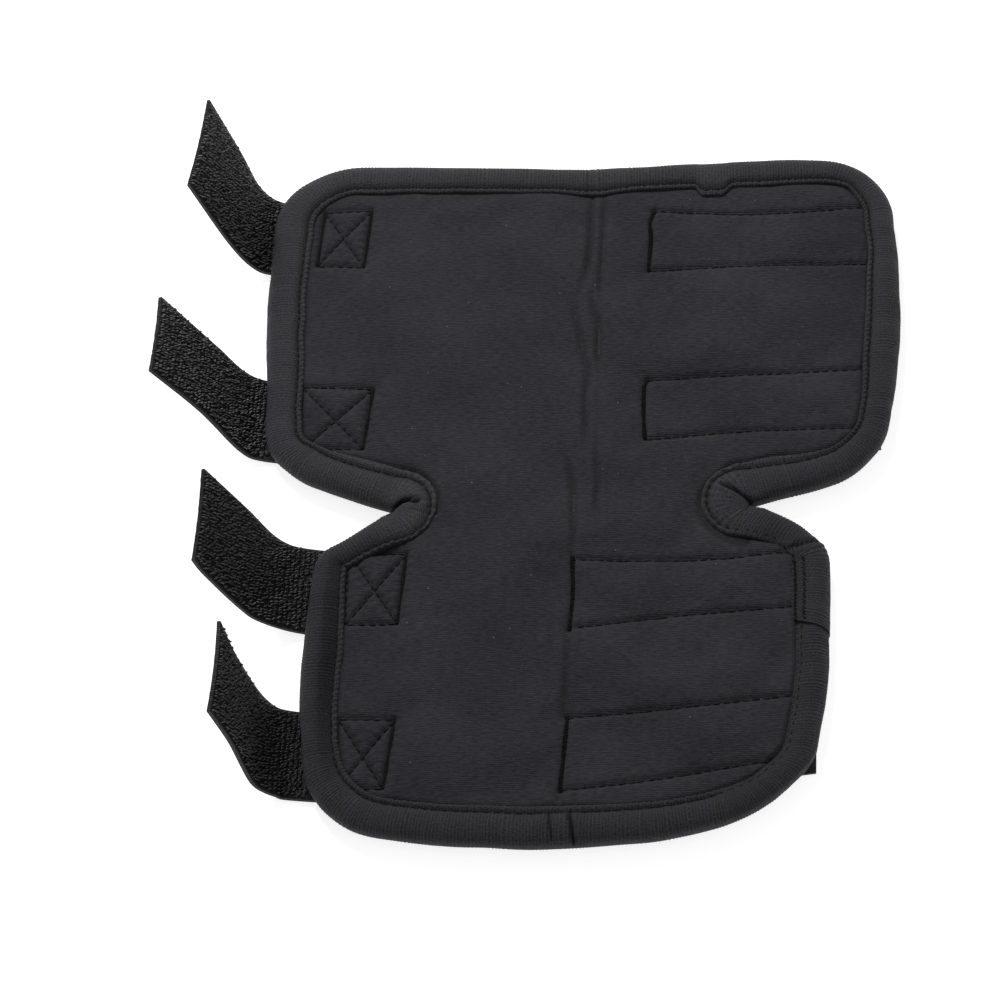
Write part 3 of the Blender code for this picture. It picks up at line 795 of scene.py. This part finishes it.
def build_sheet():
    """Lining, foam and cover, each in three zones, and the field of the lining's height."""
    fine = Grid(LINING_STEP, 4.0)
    top, shade = lining_top(fine)
    normal = fine.normals(top)
    zones = {"left": (-200, -ZONE_X), "centre": (-ZONE_X, ZONE_X), "right": (ZONE_X, 200)}
    lining_nodes = {
        "left": ["left_wing"],
        "centre": ["left_centre", "right_centre"],
        "right": ["right_wing"],
    }
    for zone, (low, high) in zones.items():
        verts, faces, flat, used = fine.slab(low, high, top, top - 0.6)
        cells = faces[:flat[0]]
        both = np.concatenate([shade[used], shade[used]])
        piece = make_piece(f"lining_{zone}", verts, faces, MATERIALS["lining_knit"], "lining_knit", None, flat,
                           (np.vstack([normal[used], normal[used]]), cells), both)
        area = len(cells) * (fine.step * MM) ** 2
        finish_layer(piece, "lining", zone, lining_nodes[zone])

    foam = Grid(FOAM_STEP, 4.5)
    foam_top = bilinear(fine, top, foam.rest) - 0.75
    for zone, (low, high) in zones.items():
        verts, faces, flat, _ = foam.slab(low, high, foam_top, np.full(len(foam_top), 3.5))
        piece = make_piece(f"foam_{zone}", verts, faces, MATERIALS["foam_core"], "foam_core", None, flat)
        bend_zone(piece, zone)
        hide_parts(*[f"foam_{node}" for node in lining_nodes[zone]])

    cover = Grid(COVER_STEP, 4.0)
    seam = nearest_seam(cover.rest, THIN_SEAMS + THICK_SEAMS)[0]
    under = 2.75 + 0.4 * np.exp(-(seam / 1.2) ** 2) + 0.1 * (1 + sheet_noise(cover.rest, 20.0, 31))
    for zone, (low, high) in zones.items():
        verts, faces, _, _ = cover.slab(low, high, under + 0.55, under)
        count = len(verts) // 2
        piece = make_piece(f"cover_{zone}", verts, faces, MATERIALS["outer_cover"], "outer_cover", None,
                           walls_of(faces, count))
        area = len(cover.cells(low, high)) * (cover.step * MM) ** 2
        finish_layer(piece, "cover", zone, lining_nodes[zone])
    return fine, top


def walls_of(faces, count):
    """The faces that join a slab's two sides."""
    upper = (faces < count).sum(axis=1)
    return np.nonzero((upper > 0) & (upper < 4))[0]


def finish_layer(piece, kind, zone, nodes):
    bend_zone(piece, zone)
    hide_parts(*[f"{kind}_{node}" for node in nodes])


# ---------------------------------------------------------------- folded tape round the edge


def tape_samples():
    """Height changes and rib waves of the tape along the outline."""
    lift = 0.25 * ring_noise(SHARE, 40, 8) + 0.12 * ring_noise(SHARE, 150, 9)
    for side in (-1, 1):
        lift += 0.9 * near_edge(side * 58, -13, 9.0) - 0.6 * near_edge(side * 55, -4.5, 6.0)
    ribs = np.arange(EDGE_COUNT) / RIB_SAMPLES
    ribs = ribs + 0.4 * ring_noise(SHARE, 160, 10) + 0.25 * ring_noise(SHARE, 420, 12)
    depth = RIB_HEIGHT * (1.0 + 0.75 * ring_noise(SHARE, 300, 13))
    depth *= 1.0 - 0.75 * np.maximum(near_edge(52, -7.5, 10.0), near_edge(-52, -7.5, 10.0))
    return lift, ribs, depth


TAPE_LIFT, RIBS, RIB_DEPTH = tape_samples()
# Painted shade on the tape, stronger low down and on the right than at the top left.
TAPE_SHADE_LOW_RIGHT = 0.16 * smoothstep(-EDGE[:, 1] + 0.8 * EDGE[:, 0], -20.0, 60.0)
# Painted shade on the tape round its lower left.
LOW_LEFT_TAPE_SHADE = near_edge(-76, -62, 62.0) ** 0.5


def swept_tape(name, picked, width, out=0.0, raised=0.0, slant=0.0):
    """The folded tape along some of the outline's samples: its section swept, ribbed and twisted at its lip."""
    section = np.array(TAPE_SECTION)
    share, rise, ribbed = section[:, 0], section[:, 1], section[:, 2]
    section_xy = np.column_stack([share * 9.3, rise])
    ahead, behind = np.roll(section_xy, -1, axis=0), np.roll(section_xy, 1, axis=0)
    tangent = ahead - behind
    tangent /= np.linalg.norm(tangent, axis=1)[:, None]
    out_normal = np.column_stack([tangent[:, 1], -tangent[:, 0]])
    n, m = len(picked), len(section)
    w = width[picked][:, None]
    groove = GROOVE[picked][:, None]
    at = np.where(share <= GROOVE_AT, share * groove / GROOVE_AT,
                  groove + (share - GROOVE_AT) * (1.0 - groove) / (1.0 - GROOVE_AT))
    across = at * w - out * (1.0 - 2.0 * (share[None, :] > 0.5))
    ramp = np.interp(share, (0.65, 0.965), (8.65, 7.75))
    level = np.where((share > 0.65) & (share < 0.965) & (rise > 6), ramp, rise)
    height = rise[None, :] + (level - rise - 0.5 * smoothstep(rise, 6.0, 8.0))[None, :] * FLUSH[picked][:, None]
    upper = smoothstep(rise, 5.0, 7.5)[None, :]
    height = height + upper * (TAPE_LIFT[picked][:, None] * smoothstep(share, 0.0, 0.3)[None, :] + raised)
    height = height - (1 - upper) * 0.35 * raised
    wave = np.cos(2 * np.pi * RIBS[picked])[:, None] * RIB_DEPTH[picked][:, None] * ribbed[None, :]
    lip = np.zeros(m)
    lip[list(LIP_POINTS)] = (0.16, 0.2, 0.16)
    twist = np.cos(2 * np.pi * (RIBS[picked][:, None] * RIB / 1.9 - share[None, :] * w / 2.4)) * lip[None, :]
    push = wave + twist
    across = across + push * out_normal[None, :, 0]
    height = height + push * out_normal[None, :, 1]
    flat = EDGE[picked][:, None, :] + INWARD[picked][:, None, :] * across[..., None]
    if slant:
        ahead = np.gradient(EDGE[picked], axis=0)
        ahead /= np.linalg.norm(ahead, axis=1)[:, None]
        back = slant * at * smoothstep(np.arange(n), 0.5 * n, n - 1)[:, None]
        flat = flat - ahead[:, None, :] * back[..., None]
    # Painted shade in the stitched groove and at the edge where the tape meets the lining, less where the lip lies
    # flush.
    groove_shade = np.interp(share, (0.72, 0.80, 0.84, 0.89, 0.975, 1.0), (0, 0.45, 0.45, 0.0, 0.0, 0.5))
    shade = np.maximum(groove_shade[None, :] * (1.0 - FLUSH[picked][:, None]), TAPE_SHADE_LOW_RIGHT[picked][:, None])
    # Painted shade round the lower left, strongest on the inner half of the tape.
    inner = 0.18 + 0.42 * smoothstep(share, 0.3, 0.6) * (1.0 - smoothstep(share, 0.84, 0.88))
    shade = np.maximum(shade, LOW_LEFT_TAPE_SHADE[picked][:, None] * inner[None, :])
    for depth, *fold in TAPE_FOLDS:
        away = line_field(flat.reshape(-1, 2), curve_through(fold, 1.0))[0].reshape(n, m)
        dent = depth * np.exp(-(away / (0.25 + 0.3 * depth)) ** 2) * upper
        height = height - dent + 0.3 * depth * upper * np.exp(-((away - 1.8) / 1.2) ** 2)
        # Painted shade in each fold, as deep as its dent.
        shade = np.maximum(shade, dent.clip(0, 1))
    verts = np.concatenate([flat, height[..., None]], axis=-1).reshape(-1, 3)
    index = np.arange(n * m).reshape(n, m)
    a, b = index[:-1], index[1:]
    quads = np.stack([a, np.roll(a, -1, axis=1), np.roll(b, -1, axis=1), b], axis=-1).reshape(-1, 4)
    faces = [list(q) for q in quads]
    faces += [list(index[0][::-1]), list(index[-1])]
    girth = np.concatenate([[0.0], np.cumsum(np.linalg.norm(np.diff(section_xy, axis=0), axis=1))])
    uv = np.stack([np.repeat(RIBS[picked][:, None], m, axis=1), np.repeat(girth[None, :], n, axis=0)], axis=-1)
    ends = [len(faces) - 2, len(faces) - 1]
    return make_piece(name, verts, faces, MATERIALS["binding_tape"], "binding_tape", uv.reshape(-1, 2), ends,
                      shade=shade.ravel())


def run_between(start, stop):
    """The outline's samples from one place on to another, clockwise."""
    if stop < start:
        stop += EDGE_COUNT
    return np.arange(start, stop + 1) % EDGE_COUNT


def crossing(x, upper):
    """The sample where the outline crosses an x at the top or the bottom."""
    which = np.nonzero((EDGE[:, 1] > 60) == upper)[0]
    which = which[np.abs(EDGE[which, 1]) > 110]
    return int(which[np.argmin(np.abs(EDGE[which, 0] - x))])


def tube_faces(count, rings, sides, clockwise=False):
    """Faces of some closed tubes, each made of rings of points."""
    one = []
    for r in range(rings - 1):
        for t in range(sides):
            a, b = r * sides + t, r * sides + (t + 1) % sides
            one.append([a, a + sides, b + sides, b] if clockwise else [a, b, b + sides, a + sides])
    turn = -1 if clockwise else 1
    one.append(list(range(sides))[::-turn])
    one.append(list(range((rings - 1) * sides, rings * sides))[::turn])
    return [[base * rings * sides + corner for corner in face] for base in range(count) for face in one]


def stitches(line, pitch, length, radius, height, sink=0.3, seed=1, slant=0.0):
    """Short raised threads along a line of points (x, y, z): vertices, faces and cloth coordinates."""
    total = measured(line)[-1]
    count = max(1, int(total // pitch))
    rng = np.random.default_rng(seed)
    starts = (np.arange(count) + 0.5) * total / count - length / 2 + rng.uniform(-0.12, 0.12, count) * pitch
    rings = np.array([0.0, 0.14, 0.38, 0.62, 0.86, 1.0])
    girth = np.array([0.35, 0.85, 1.0, 1.0, 0.85, 0.35]) * radius
    arch = np.array([-1.0, -0.25, 0.0, 0.0, -0.25, -1.0]) * sink
    at = np.clip(starts[:, None] + rings[None, :] * length, 0.0, total)
    centre = along(line, at.ravel()).reshape(count, 6, 3)
    ahead = along(line, np.clip(at + 0.2, 0, total).ravel()) - along(line, np.clip(at - 0.2, 0, total).ravel())
    ahead = ahead.reshape(count, 6, 3)
    ahead[..., 2] = 0.0
    ahead /= np.maximum(np.linalg.norm(ahead, axis=-1), 1e-6)[..., None]
    side = np.stack([-ahead[..., 1], ahead[..., 0], np.zeros(ahead.shape[:2])], axis=-1)
    lean = (rings - 0.5)[None, :, None] * side * (slant + rng.uniform(-0.15, 0.15, count)[:, None, None])
    centre = centre + lean
    centre[..., 2] += height + arch[None, :]
    turns = np.arange(6) * math.pi / 3
    up = np.array([0.0, 0.0, 1.0])
    around = (side[:, :, None, :] * np.cos(turns)[None, None, :, None]
              + up * np.sin(turns)[None, None, :, None]) * girth[None, :, None, None]
    verts = (centre[:, :, None, :] + around).reshape(-1, 3)
    uv = np.stack([np.repeat(at.ravel(), 6), np.tile(turns, count * 6)], axis=-1)
    return verts, tube_faces(count, 6, 6), uv


def joined(parts):
    """Several (vertices, faces, cloth coordinates) as one."""
    verts, faces, uvs, base = [], [], [], 0
    for part_verts, part_faces, part_uv in parts:
        verts.append(part_verts)
        uvs.append(part_uv)
        faces += [[base + corner for corner in face] for face in part_faces]
        base += len(part_verts)
    return np.vstack(verts), faces, np.vstack(uvs)


def thread_piece(name, parts):
    verts, faces, uv = joined(parts)
    return make_piece(name, verts, faces, MATERIALS["thread"], "thread", uv)


def build_binding():
    top_right, bottom_right = crossing(ZONE_X, True), crossing(ZONE_X, False)
    bottom_left, top_left = crossing(-ZONE_X, False), crossing(-ZONE_X, True)
    runs = {
        "centre_top": (run_between(top_left, top_right), "centre", ["left_top", "right_top"]),
        "right": (run_between(top_right, bottom_right), "right", ["right_wing"]),
        "centre_bottom": (run_between(bottom_right, bottom_left), "centre", ["left_bottom", "right_bottom"]),
        "left": (run_between(bottom_left, top_left), "left", ["left_wing"]),
    }
    for name, (picked, zone, nodes) in runs.items():
        piece = swept_tape(f"binding_{name}", picked, WIDTH)
        bend_zone(piece, zone)
        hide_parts(*[f"binding_{node}" for node in nodes])
        groove = EDGE[picked] + INWARD[picked] * (GROOVE[picked] * WIDTH[picked])[:, None]
        upper = np.column_stack([groove, 7.45 + TAPE_LIFT[picked]])
        lower = np.column_stack([groove, np.full(len(groove), 2.3)])
        threads = thread_piece(f"binding_thread_{name}", [
            stitches(upper, STITCH, 2.35, 0.26, 0.12, 0.35, seed=41),
            stitches(lower, STITCH, 2.35, 0.26, -0.12, -0.35, seed=42)])
        bend_zone(threads, zone)
        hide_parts(*[f"binding_thread_{node}" for node in nodes])
    lap = run_between(edge_index(74.6, -20.6), edge_index(75.9, -51.8))
    piece = swept_tape("binding_lap", lap, WIDTH + 0.8, raised=0.45, out=0.3, slant=3.6)
    bend_zone(piece, "right")
    inner = EDGE[lap] + INWARD[lap] * (0.93 * WIDTH[lap] + 0.8)[:, None]
    middle = EDGE[lap] + INWARD[lap] * (0.74 * WIDTH[lap])[:, None]
    parts = []
    for line, height, seed, slant in ((inner, 8.45, 45, 0.9), (middle, 8.9, 46, 0.8)):
        line = np.column_stack([line, height + TAPE_LIFT[lap]])[6:-12]
        parts.append(stitches(line, 1.2, 1.3, 0.24, 0.0, 0.3, seed=seed, slant=slant))
    bend_zone(thread_piece("lap_stitch", parts), "right")


def build_seams(fine, top):
    """The sewn boxes with crosses, and the seams and dense bars that hold the loop pads."""

    def on_top(line):
        line = along(line, np.arange(0.0, measured(line)[-1], 0.5))
        return np.column_stack([line, bilinear(fine, top, line)])

    for number, lines in enumerate(BOXES, 1):
        parts = []
        for k, line in enumerate(lines):
            for a, b in zip(line, line[1:]):
                parts.append(stitches(on_top(np.array([a, b])), 2.7, 2.35, 0.3, 0.12, 0.4, seed=number * 9 + k))
        for bar in BOX_BARS[number - 1]:
            parts.append(stitches(on_top(bar), 0.7, 1.5, 0.28, 0.18, 0.3, seed=number + 60, slant=1.7))
            parts.append(stitches(on_top(bar), 0.9, 1.3, 0.28, 0.30, 0.3, seed=number + 65, slant=-1.0))
        piece = thread_piece(f"box_stitch_{number}", parts)
        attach(piece, "left_wing")
        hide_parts(f"strap_stitch_{number}")
    for number, bar in enumerate(BARS, 1):
        parts = [stitches(on_top(bar), 0.62, 0.9, 0.24, 0.22, 0.25, seed=number + 70, slant=1.9),
                 stitches(on_top(bar), 0.95, 1.3, 0.26, 0.30, 0.3, seed=number + 80, slant=-1.2)]
        for line in SEAMS[2 * number - 2:2 * number]:
            keep = edge_field(line)[0] > 8.0
            parts.append(stitches(on_top(line[keep]), 2.7, 2.45, 0.25, 0.1, 0.35, seed=number + 90))
        piece = thread_piece(f"pad_stitch_{number}", parts)
        blend_at(piece, ("right_centre", "right_wing"), FOLD_X - 4, FOLD_X + 4)
        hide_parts(f"pad_stitch_{number}_centre", f"pad_stitch_{number}_wing")


# ---------------------------------------------------------------- straps and pads


def band_faces(n, m):
    """Quads of an n by m table of points, and the walls between its rim and that of a copy n * m points on."""
    index = np.arange(n * m).reshape(n, m)
    quads = np.stack([index[:-1, :-1], index[1:, :-1], index[1:, 1:], index[:-1, 1:]], axis=-1).reshape(-1, 4)
    rim = np.concatenate([index[:, 0], index[-1, 1:], index[-2::-1, -1], index[0, -2:0:-1]])
    after = np.roll(rim, -1)
    return quads, np.column_stack([after, rim, rim + n * m, after + n * m])


def band(rows, thick):
    """A closed band from rows of points across it, thickened along its normals.

    rows is (n, m, 3); the upper face is on the side that starts out facing up.
    """
    n, m = rows.shape[:2]
    du = np.gradient(rows, axis=0)
    dv = np.gradient(rows, axis=1)
    normal = np.cross(dv, du)
    normal /= np.linalg.norm(normal, axis=-1)[..., None]
    if normal[0, m // 2, 2] < 0:
        normal = -normal
    upper = rows + normal * thick / 2
    lower = rows - normal * thick / 2
    verts = np.concatenate([upper.reshape(-1, 3), lower.reshape(-1, 3)])
    quads, walls = band_faces(n, m)
    a, b, c, _ = verts[quads[0]]
    if np.dot(np.cross(b - a, c - a), normal[0, 0]) < 0:
        quads, walls = quads[:, ::-1], walls[:, ::-1]
    faces = np.vstack([quads, quads[:, ::-1] + n * m, walls])
    return verts, faces, normal, len(quads) * 2


def strap_rows(number):
    """Rows of points across a strap, from its sewn end to its free end, and the length along it of each row."""
    edge, inner, step, tab_y, upper, lower = STRAPS[number - 1]
    sides = []
    for tab, (root_y, points) in zip(tab_y, (upper, lower)):
        flat = [(-inner, tab, 1.2), (-step, tab + 0.15 * (root_y - tab), 1.15),
                (-step - 3.0, tab + 0.3 * (root_y - tab), 0.85)]
        rise = [(-edge, root_y, 1.0)] + [(x, root_y, z) for x, z in points]
        sides.append(curve_through(flat + rise, 0.9))
    n = max(len(side) for side in sides)
    sides = [along(side, np.linspace(0, measured(side)[-1], n)) for side in sides]
    share = np.linspace(0.0, 1.0, 31)
    rows = sides[0][:, None, :] * (1 - share)[None, :, None] + sides[1][:, None, :] * share[None, :, None]
    return rows, share


def strap_shade(number, z):
    """How dark a strap is painted at some heights: painted shade for how it faces the light, and a little more near
    its root where the tape shades it.
    """
    shade = STRAP_SHADE[number - 1]
    return (shade + 0.25 * shade ** 0.5 * np.exp(-(z - 6.0).clip(0) / 3.0)).clip(0, 1)


def build_straps():
    for number, (edge, inner, _, _, _, _) in enumerate(STRAPS, 1):
        rows, share = strap_rows(number)
        length = measured(rows[:, 15])
        rng = np.random.default_rng(100 + number)
        rows = rows.copy()
        step = rows[-1] - rows[-2]
        step /= np.linalg.norm(step, axis=-1)[:, None]
        rows[-1] += step * rng.uniform(-0.1, 0.1, 31)[:, None]
        crown = 0.5 * np.sin(np.pi * share)[None, :] * smoothstep(length, length[-1] - 45, length[-1])[:, None]
        verts, faces, normal, walls = band(rows, TAPE_THICK)
        n, m = rows.shape[:2]
        bend = normal * crown[..., None]
        verts = verts + np.concatenate([bend.reshape(-1, 3)] * 2)
        uv = np.stack([np.repeat(share[None, :] * STRAP_WIDTH, n, 0), np.repeat(length[:, None], m, 1)], axis=-1)
        uv = np.concatenate([uv.reshape(-1, 2)] * 2)
        flat = np.arange(walls, len(faces))
        # Painted shade along the strap, a little more near its root.
        root = np.repeat(strap_shade(number, rows[:, 15, 2]), m)
        piece = make_piece(f"strap_{number}_webbing", verts, faces, MATERIALS["hook_tape"], "hook_tape", uv, flat,
                           shade=np.tile(root, 2))
        ends = (-edge, -edge - 6.0)
        blend_at(piece, ("left_wing", f"strap_{number}_free"), *ends)
        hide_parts(f"strap_tab_{number}", f"strap_{number}")

        surface = rows + bend + normal * (TAPE_THICK / 2 - 0.08)
        hooks = hook_rows(surface, normal, length, -edge, rng)
        # The hooks carry the same painted shade.
        piece = make_piece(f"strap_{number}_hooks", *hooks[:2], MATERIALS["hook_nylon"], "hook_tape", hooks[2],
                           shade=strap_shade(number, hooks[0][:, 2]))
        blend_at(piece, ("left_wing", f"strap_{number}_free"), *ends)


def hook_rows(surface, normal, length, edge_x, rng):
    """Little arched hooks in rows across the free part of a strap."""
    n, m = surface.shape[:2]
    outside = np.nonzero(surface[:, 15, 0] < edge_x + 8.0)[0][0]
    starts = np.arange(length[outside], length[-1] - 0.5, 1.6)
    centre, up, over, on = [], [], [], []
    for row, at in enumerate(starts):
        places = np.arange(0.9 + 0.5 * (row % 2), 29.2, 1.05)
        places = places + rng.uniform(-0.25, 0.25, len(places))
        keep = rng.uniform(0, 1, len(places)) > 0.06
        places = places[keep]
        t = np.interp(at + rng.uniform(-0.35, 0.35, len(places)), length, np.arange(n))
        s = places / STRAP_WIDTH * (m - 1)
        i, j = np.clip(t.astype(int), 0, n - 2), np.clip(s.astype(int), 0, m - 2)
        a, b = (t - i)[:, None], (s - j)[:, None]

        def between(table):
            low = table[i, j] * (1 - b) + table[i, j + 1] * b
            high = table[i + 1, j] * (1 - b) + table[i + 1, j + 1] * b
            return low * (1 - a) + high * a

        centre.append(between(surface))
        up.append(between(normal))
        over.append(surface[i, j + 1] - surface[i, j])
        on.append(surface[i + 1, j] - surface[i, j])
    centre, up, over, on = (np.vstack(x) for x in (centre, up, over, on))
    clear = edge_field(centre[:, :2])[0] < -0.6
    centre, up, over, on = (x[clear] for x in (centre, up, over, on))
    over /= np.linalg.norm(over, axis=1)[:, None]
    on /= np.linalg.norm(on, axis=1)[:, None]
    count = len(centre)
    angles = np.linspace(0.05, 0.92, 6) * math.pi
    half = rng.uniform(0.6, 1.05, count)
    tall = rng.uniform(0.45, 0.85, count)
    tilt = rng.uniform(0.1, 1.1, count)
    heading = on + tilt[:, None] * over
    heading /= np.linalg.norm(heading, axis=1)[:, None]
    cross = np.cross(up, heading)
    spine = (centre[:, None, :] - heading[:, None, :] * (half[:, None] * np.cos(angles))[..., None]
             + up[:, None, :] * (tall[:, None] * np.sin(angles))[..., None])
    outward = (-heading[:, None, :] * np.cos(angles)[None, :, None] + up[:, None, :] * np.sin(angles)[None, :, None])
    corners = ((1, 0), (0, 1), (-1, 0), (0, -1))
    radius = np.array([0.18, 0.21, 0.22, 0.22, 0.20, 0.13])
    ring = np.stack([outward * a + cross[:, None, :] * b for a, b in corners], axis=2) * radius[None, :, None, None]
    verts = (spine[:, :, None, :] + ring).reshape(-1, 3)
    return verts, tube_faces(count, 6, 4, clockwise=True), verts[:, :2] + verts[:, 2:3]


def build_pads():
    """Loop tape under the right half, fuzzy side down."""
    for number, (inner, step, outer, y_inner, slope) in enumerate(PADS, 1):
        xs = np.arange(inner, outer + 0.01, 0.9)
        across = np.linspace(-PAD_WIDTH / 2, PAD_WIDTH / 2, 33)
        gx, gw = np.meshgrid(xs, across, indexing="ij")
        gy = y_inner + slope * (gx - inner) + gw
        top = np.where(gx < step, 2.3, 1.45) - 0.1
        points = np.stack([gx, gy], axis=-1)
        selvage = smoothstep(PAD_WIDTH / 2 - np.abs(gw), 0.6, 1.6)
        pile = 0.30 + 0.22 * sheet_noise(points, 0.9, 50 + number) + 0.12 * sheet_noise(points, 2.1, 60 + number)
        bottom = np.maximum(0.6 - np.maximum(pile, 0.02) * selvage, 0.03)
        n, m = gx.shape
        verts = np.concatenate([np.stack([gx, gy, top], -1).reshape(-1, 3),
                                np.stack([gx, gy, bottom], -1).reshape(-1, 3)])
        quads, walls = band_faces(n, m)
        faces = np.vstack([quads, quads[:, ::-1] + n * m, walls])
        piece = make_piece(f"loop_pad_{number}", verts, faces, MATERIALS["loop_tape"], "loop_tape", None,
                           np.arange(2 * len(quads), len(faces)))
        blend_at(piece, ("right_centre", "right_wing"), FOLD_X - 4, FOLD_X + 4)
        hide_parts(f"loop_pad_{number}_centre", f"loop_pad_{number}_wing")


# ---------------------------------------------------------------- floor, light and camera


def build_stage():
    scene = bpy.context.scene
    scene.view_settings.view_transform = "Standard"
    floor = bpy.data.meshes.new("floor")
    reach = 4.0
    floor.from_pydata([(-reach, -reach, -0.0003), (reach, -reach, -0.0003),
                       (reach, reach, -0.0003), (-reach, reach, -0.0003)], [], [(0, 1, 2, 3)])
    material = bpy.data.materials.new("floor")
    material.use_nodes = True
    shader = material.node_tree.nodes["Principled BSDF"]
    shader.inputs["Base Color"].default_value = (0.6, 0.6, 0.6, 1)
    shader.inputs["Roughness"].default_value = 1.0
    shader.inputs["Specular IOR Level"].default_value = 0.0
    shader.inputs["Emission Color"].default_value = (1, 1, 1, 1)
    shader.inputs["Emission Strength"].default_value = 0.8
    floor.materials.append(material)
    ground = bpy.data.objects.new("floor", floor)
    scene.collection.objects.link(ground)

    world = bpy.data.worlds.new("studio")
    world.use_nodes = True
    world.node_tree.nodes["Background"].inputs["Color"].default_value = (1, 1, 1, 1)
    world.node_tree.nodes["Background"].inputs["Strength"].default_value = 0.34
    scene.world = world
    for name, place, size, power in (("key", (-0.4, 0.95, 1.0), 0.5, 17.0), ("fill", (0.8, -0.5, 1.1), 1.0, 1.2)):
        light = bpy.data.lights.new(name, "AREA")
        light.size = size
        light.energy = power
        lamp = bpy.data.objects.new(name, light)
        lamp.location = place
        lamp.rotation_euler = (-Vector(place)).to_track_quat("-Z", "Y").to_euler()
        scene.collection.objects.link(lamp)


def build_camera():
    """Looks down at the guard from the front and a little to its right."""
    target = Vector((-21.95 * MM + ORIGIN[0], 0.75 * MM + ORIGIN[1], 0.0))
    azimuth, elevation, roll = (math.radians(angle) for angle in (-11.46, 54.0, -9.97))
    distance = 1.014
    ahead = Vector((math.sin(azimuth) * math.cos(elevation), math.cos(azimuth) * math.cos(elevation),
                    -math.sin(elevation)))
    right = Vector((math.cos(azimuth), -math.sin(azimuth), 0.0))
    up = right.cross(ahead)
    turned_right = math.cos(roll) * right + math.sin(roll) * up
    turned_up = math.cos(roll) * up - math.sin(roll) * right
    data = bpy.data.cameras.new("camera")
    data.lens = 121.7
    data.sensor_width = 36.0
    camera = bpy.data.objects.new("camera", data)
    camera.matrix_world = Matrix.Translation(target - ahead * distance) @ Matrix(
        (turned_right, turned_up, -ahead)).transposed().to_4x4()
    bpy.context.scene.collection.objects.link(camera)
    bpy.context.scene.camera = camera


build_camera()
build_stage()
FINE, TOP = build_sheet()
build_binding()
build_seams(FINE, TOP)
build_straps()
build_pads()
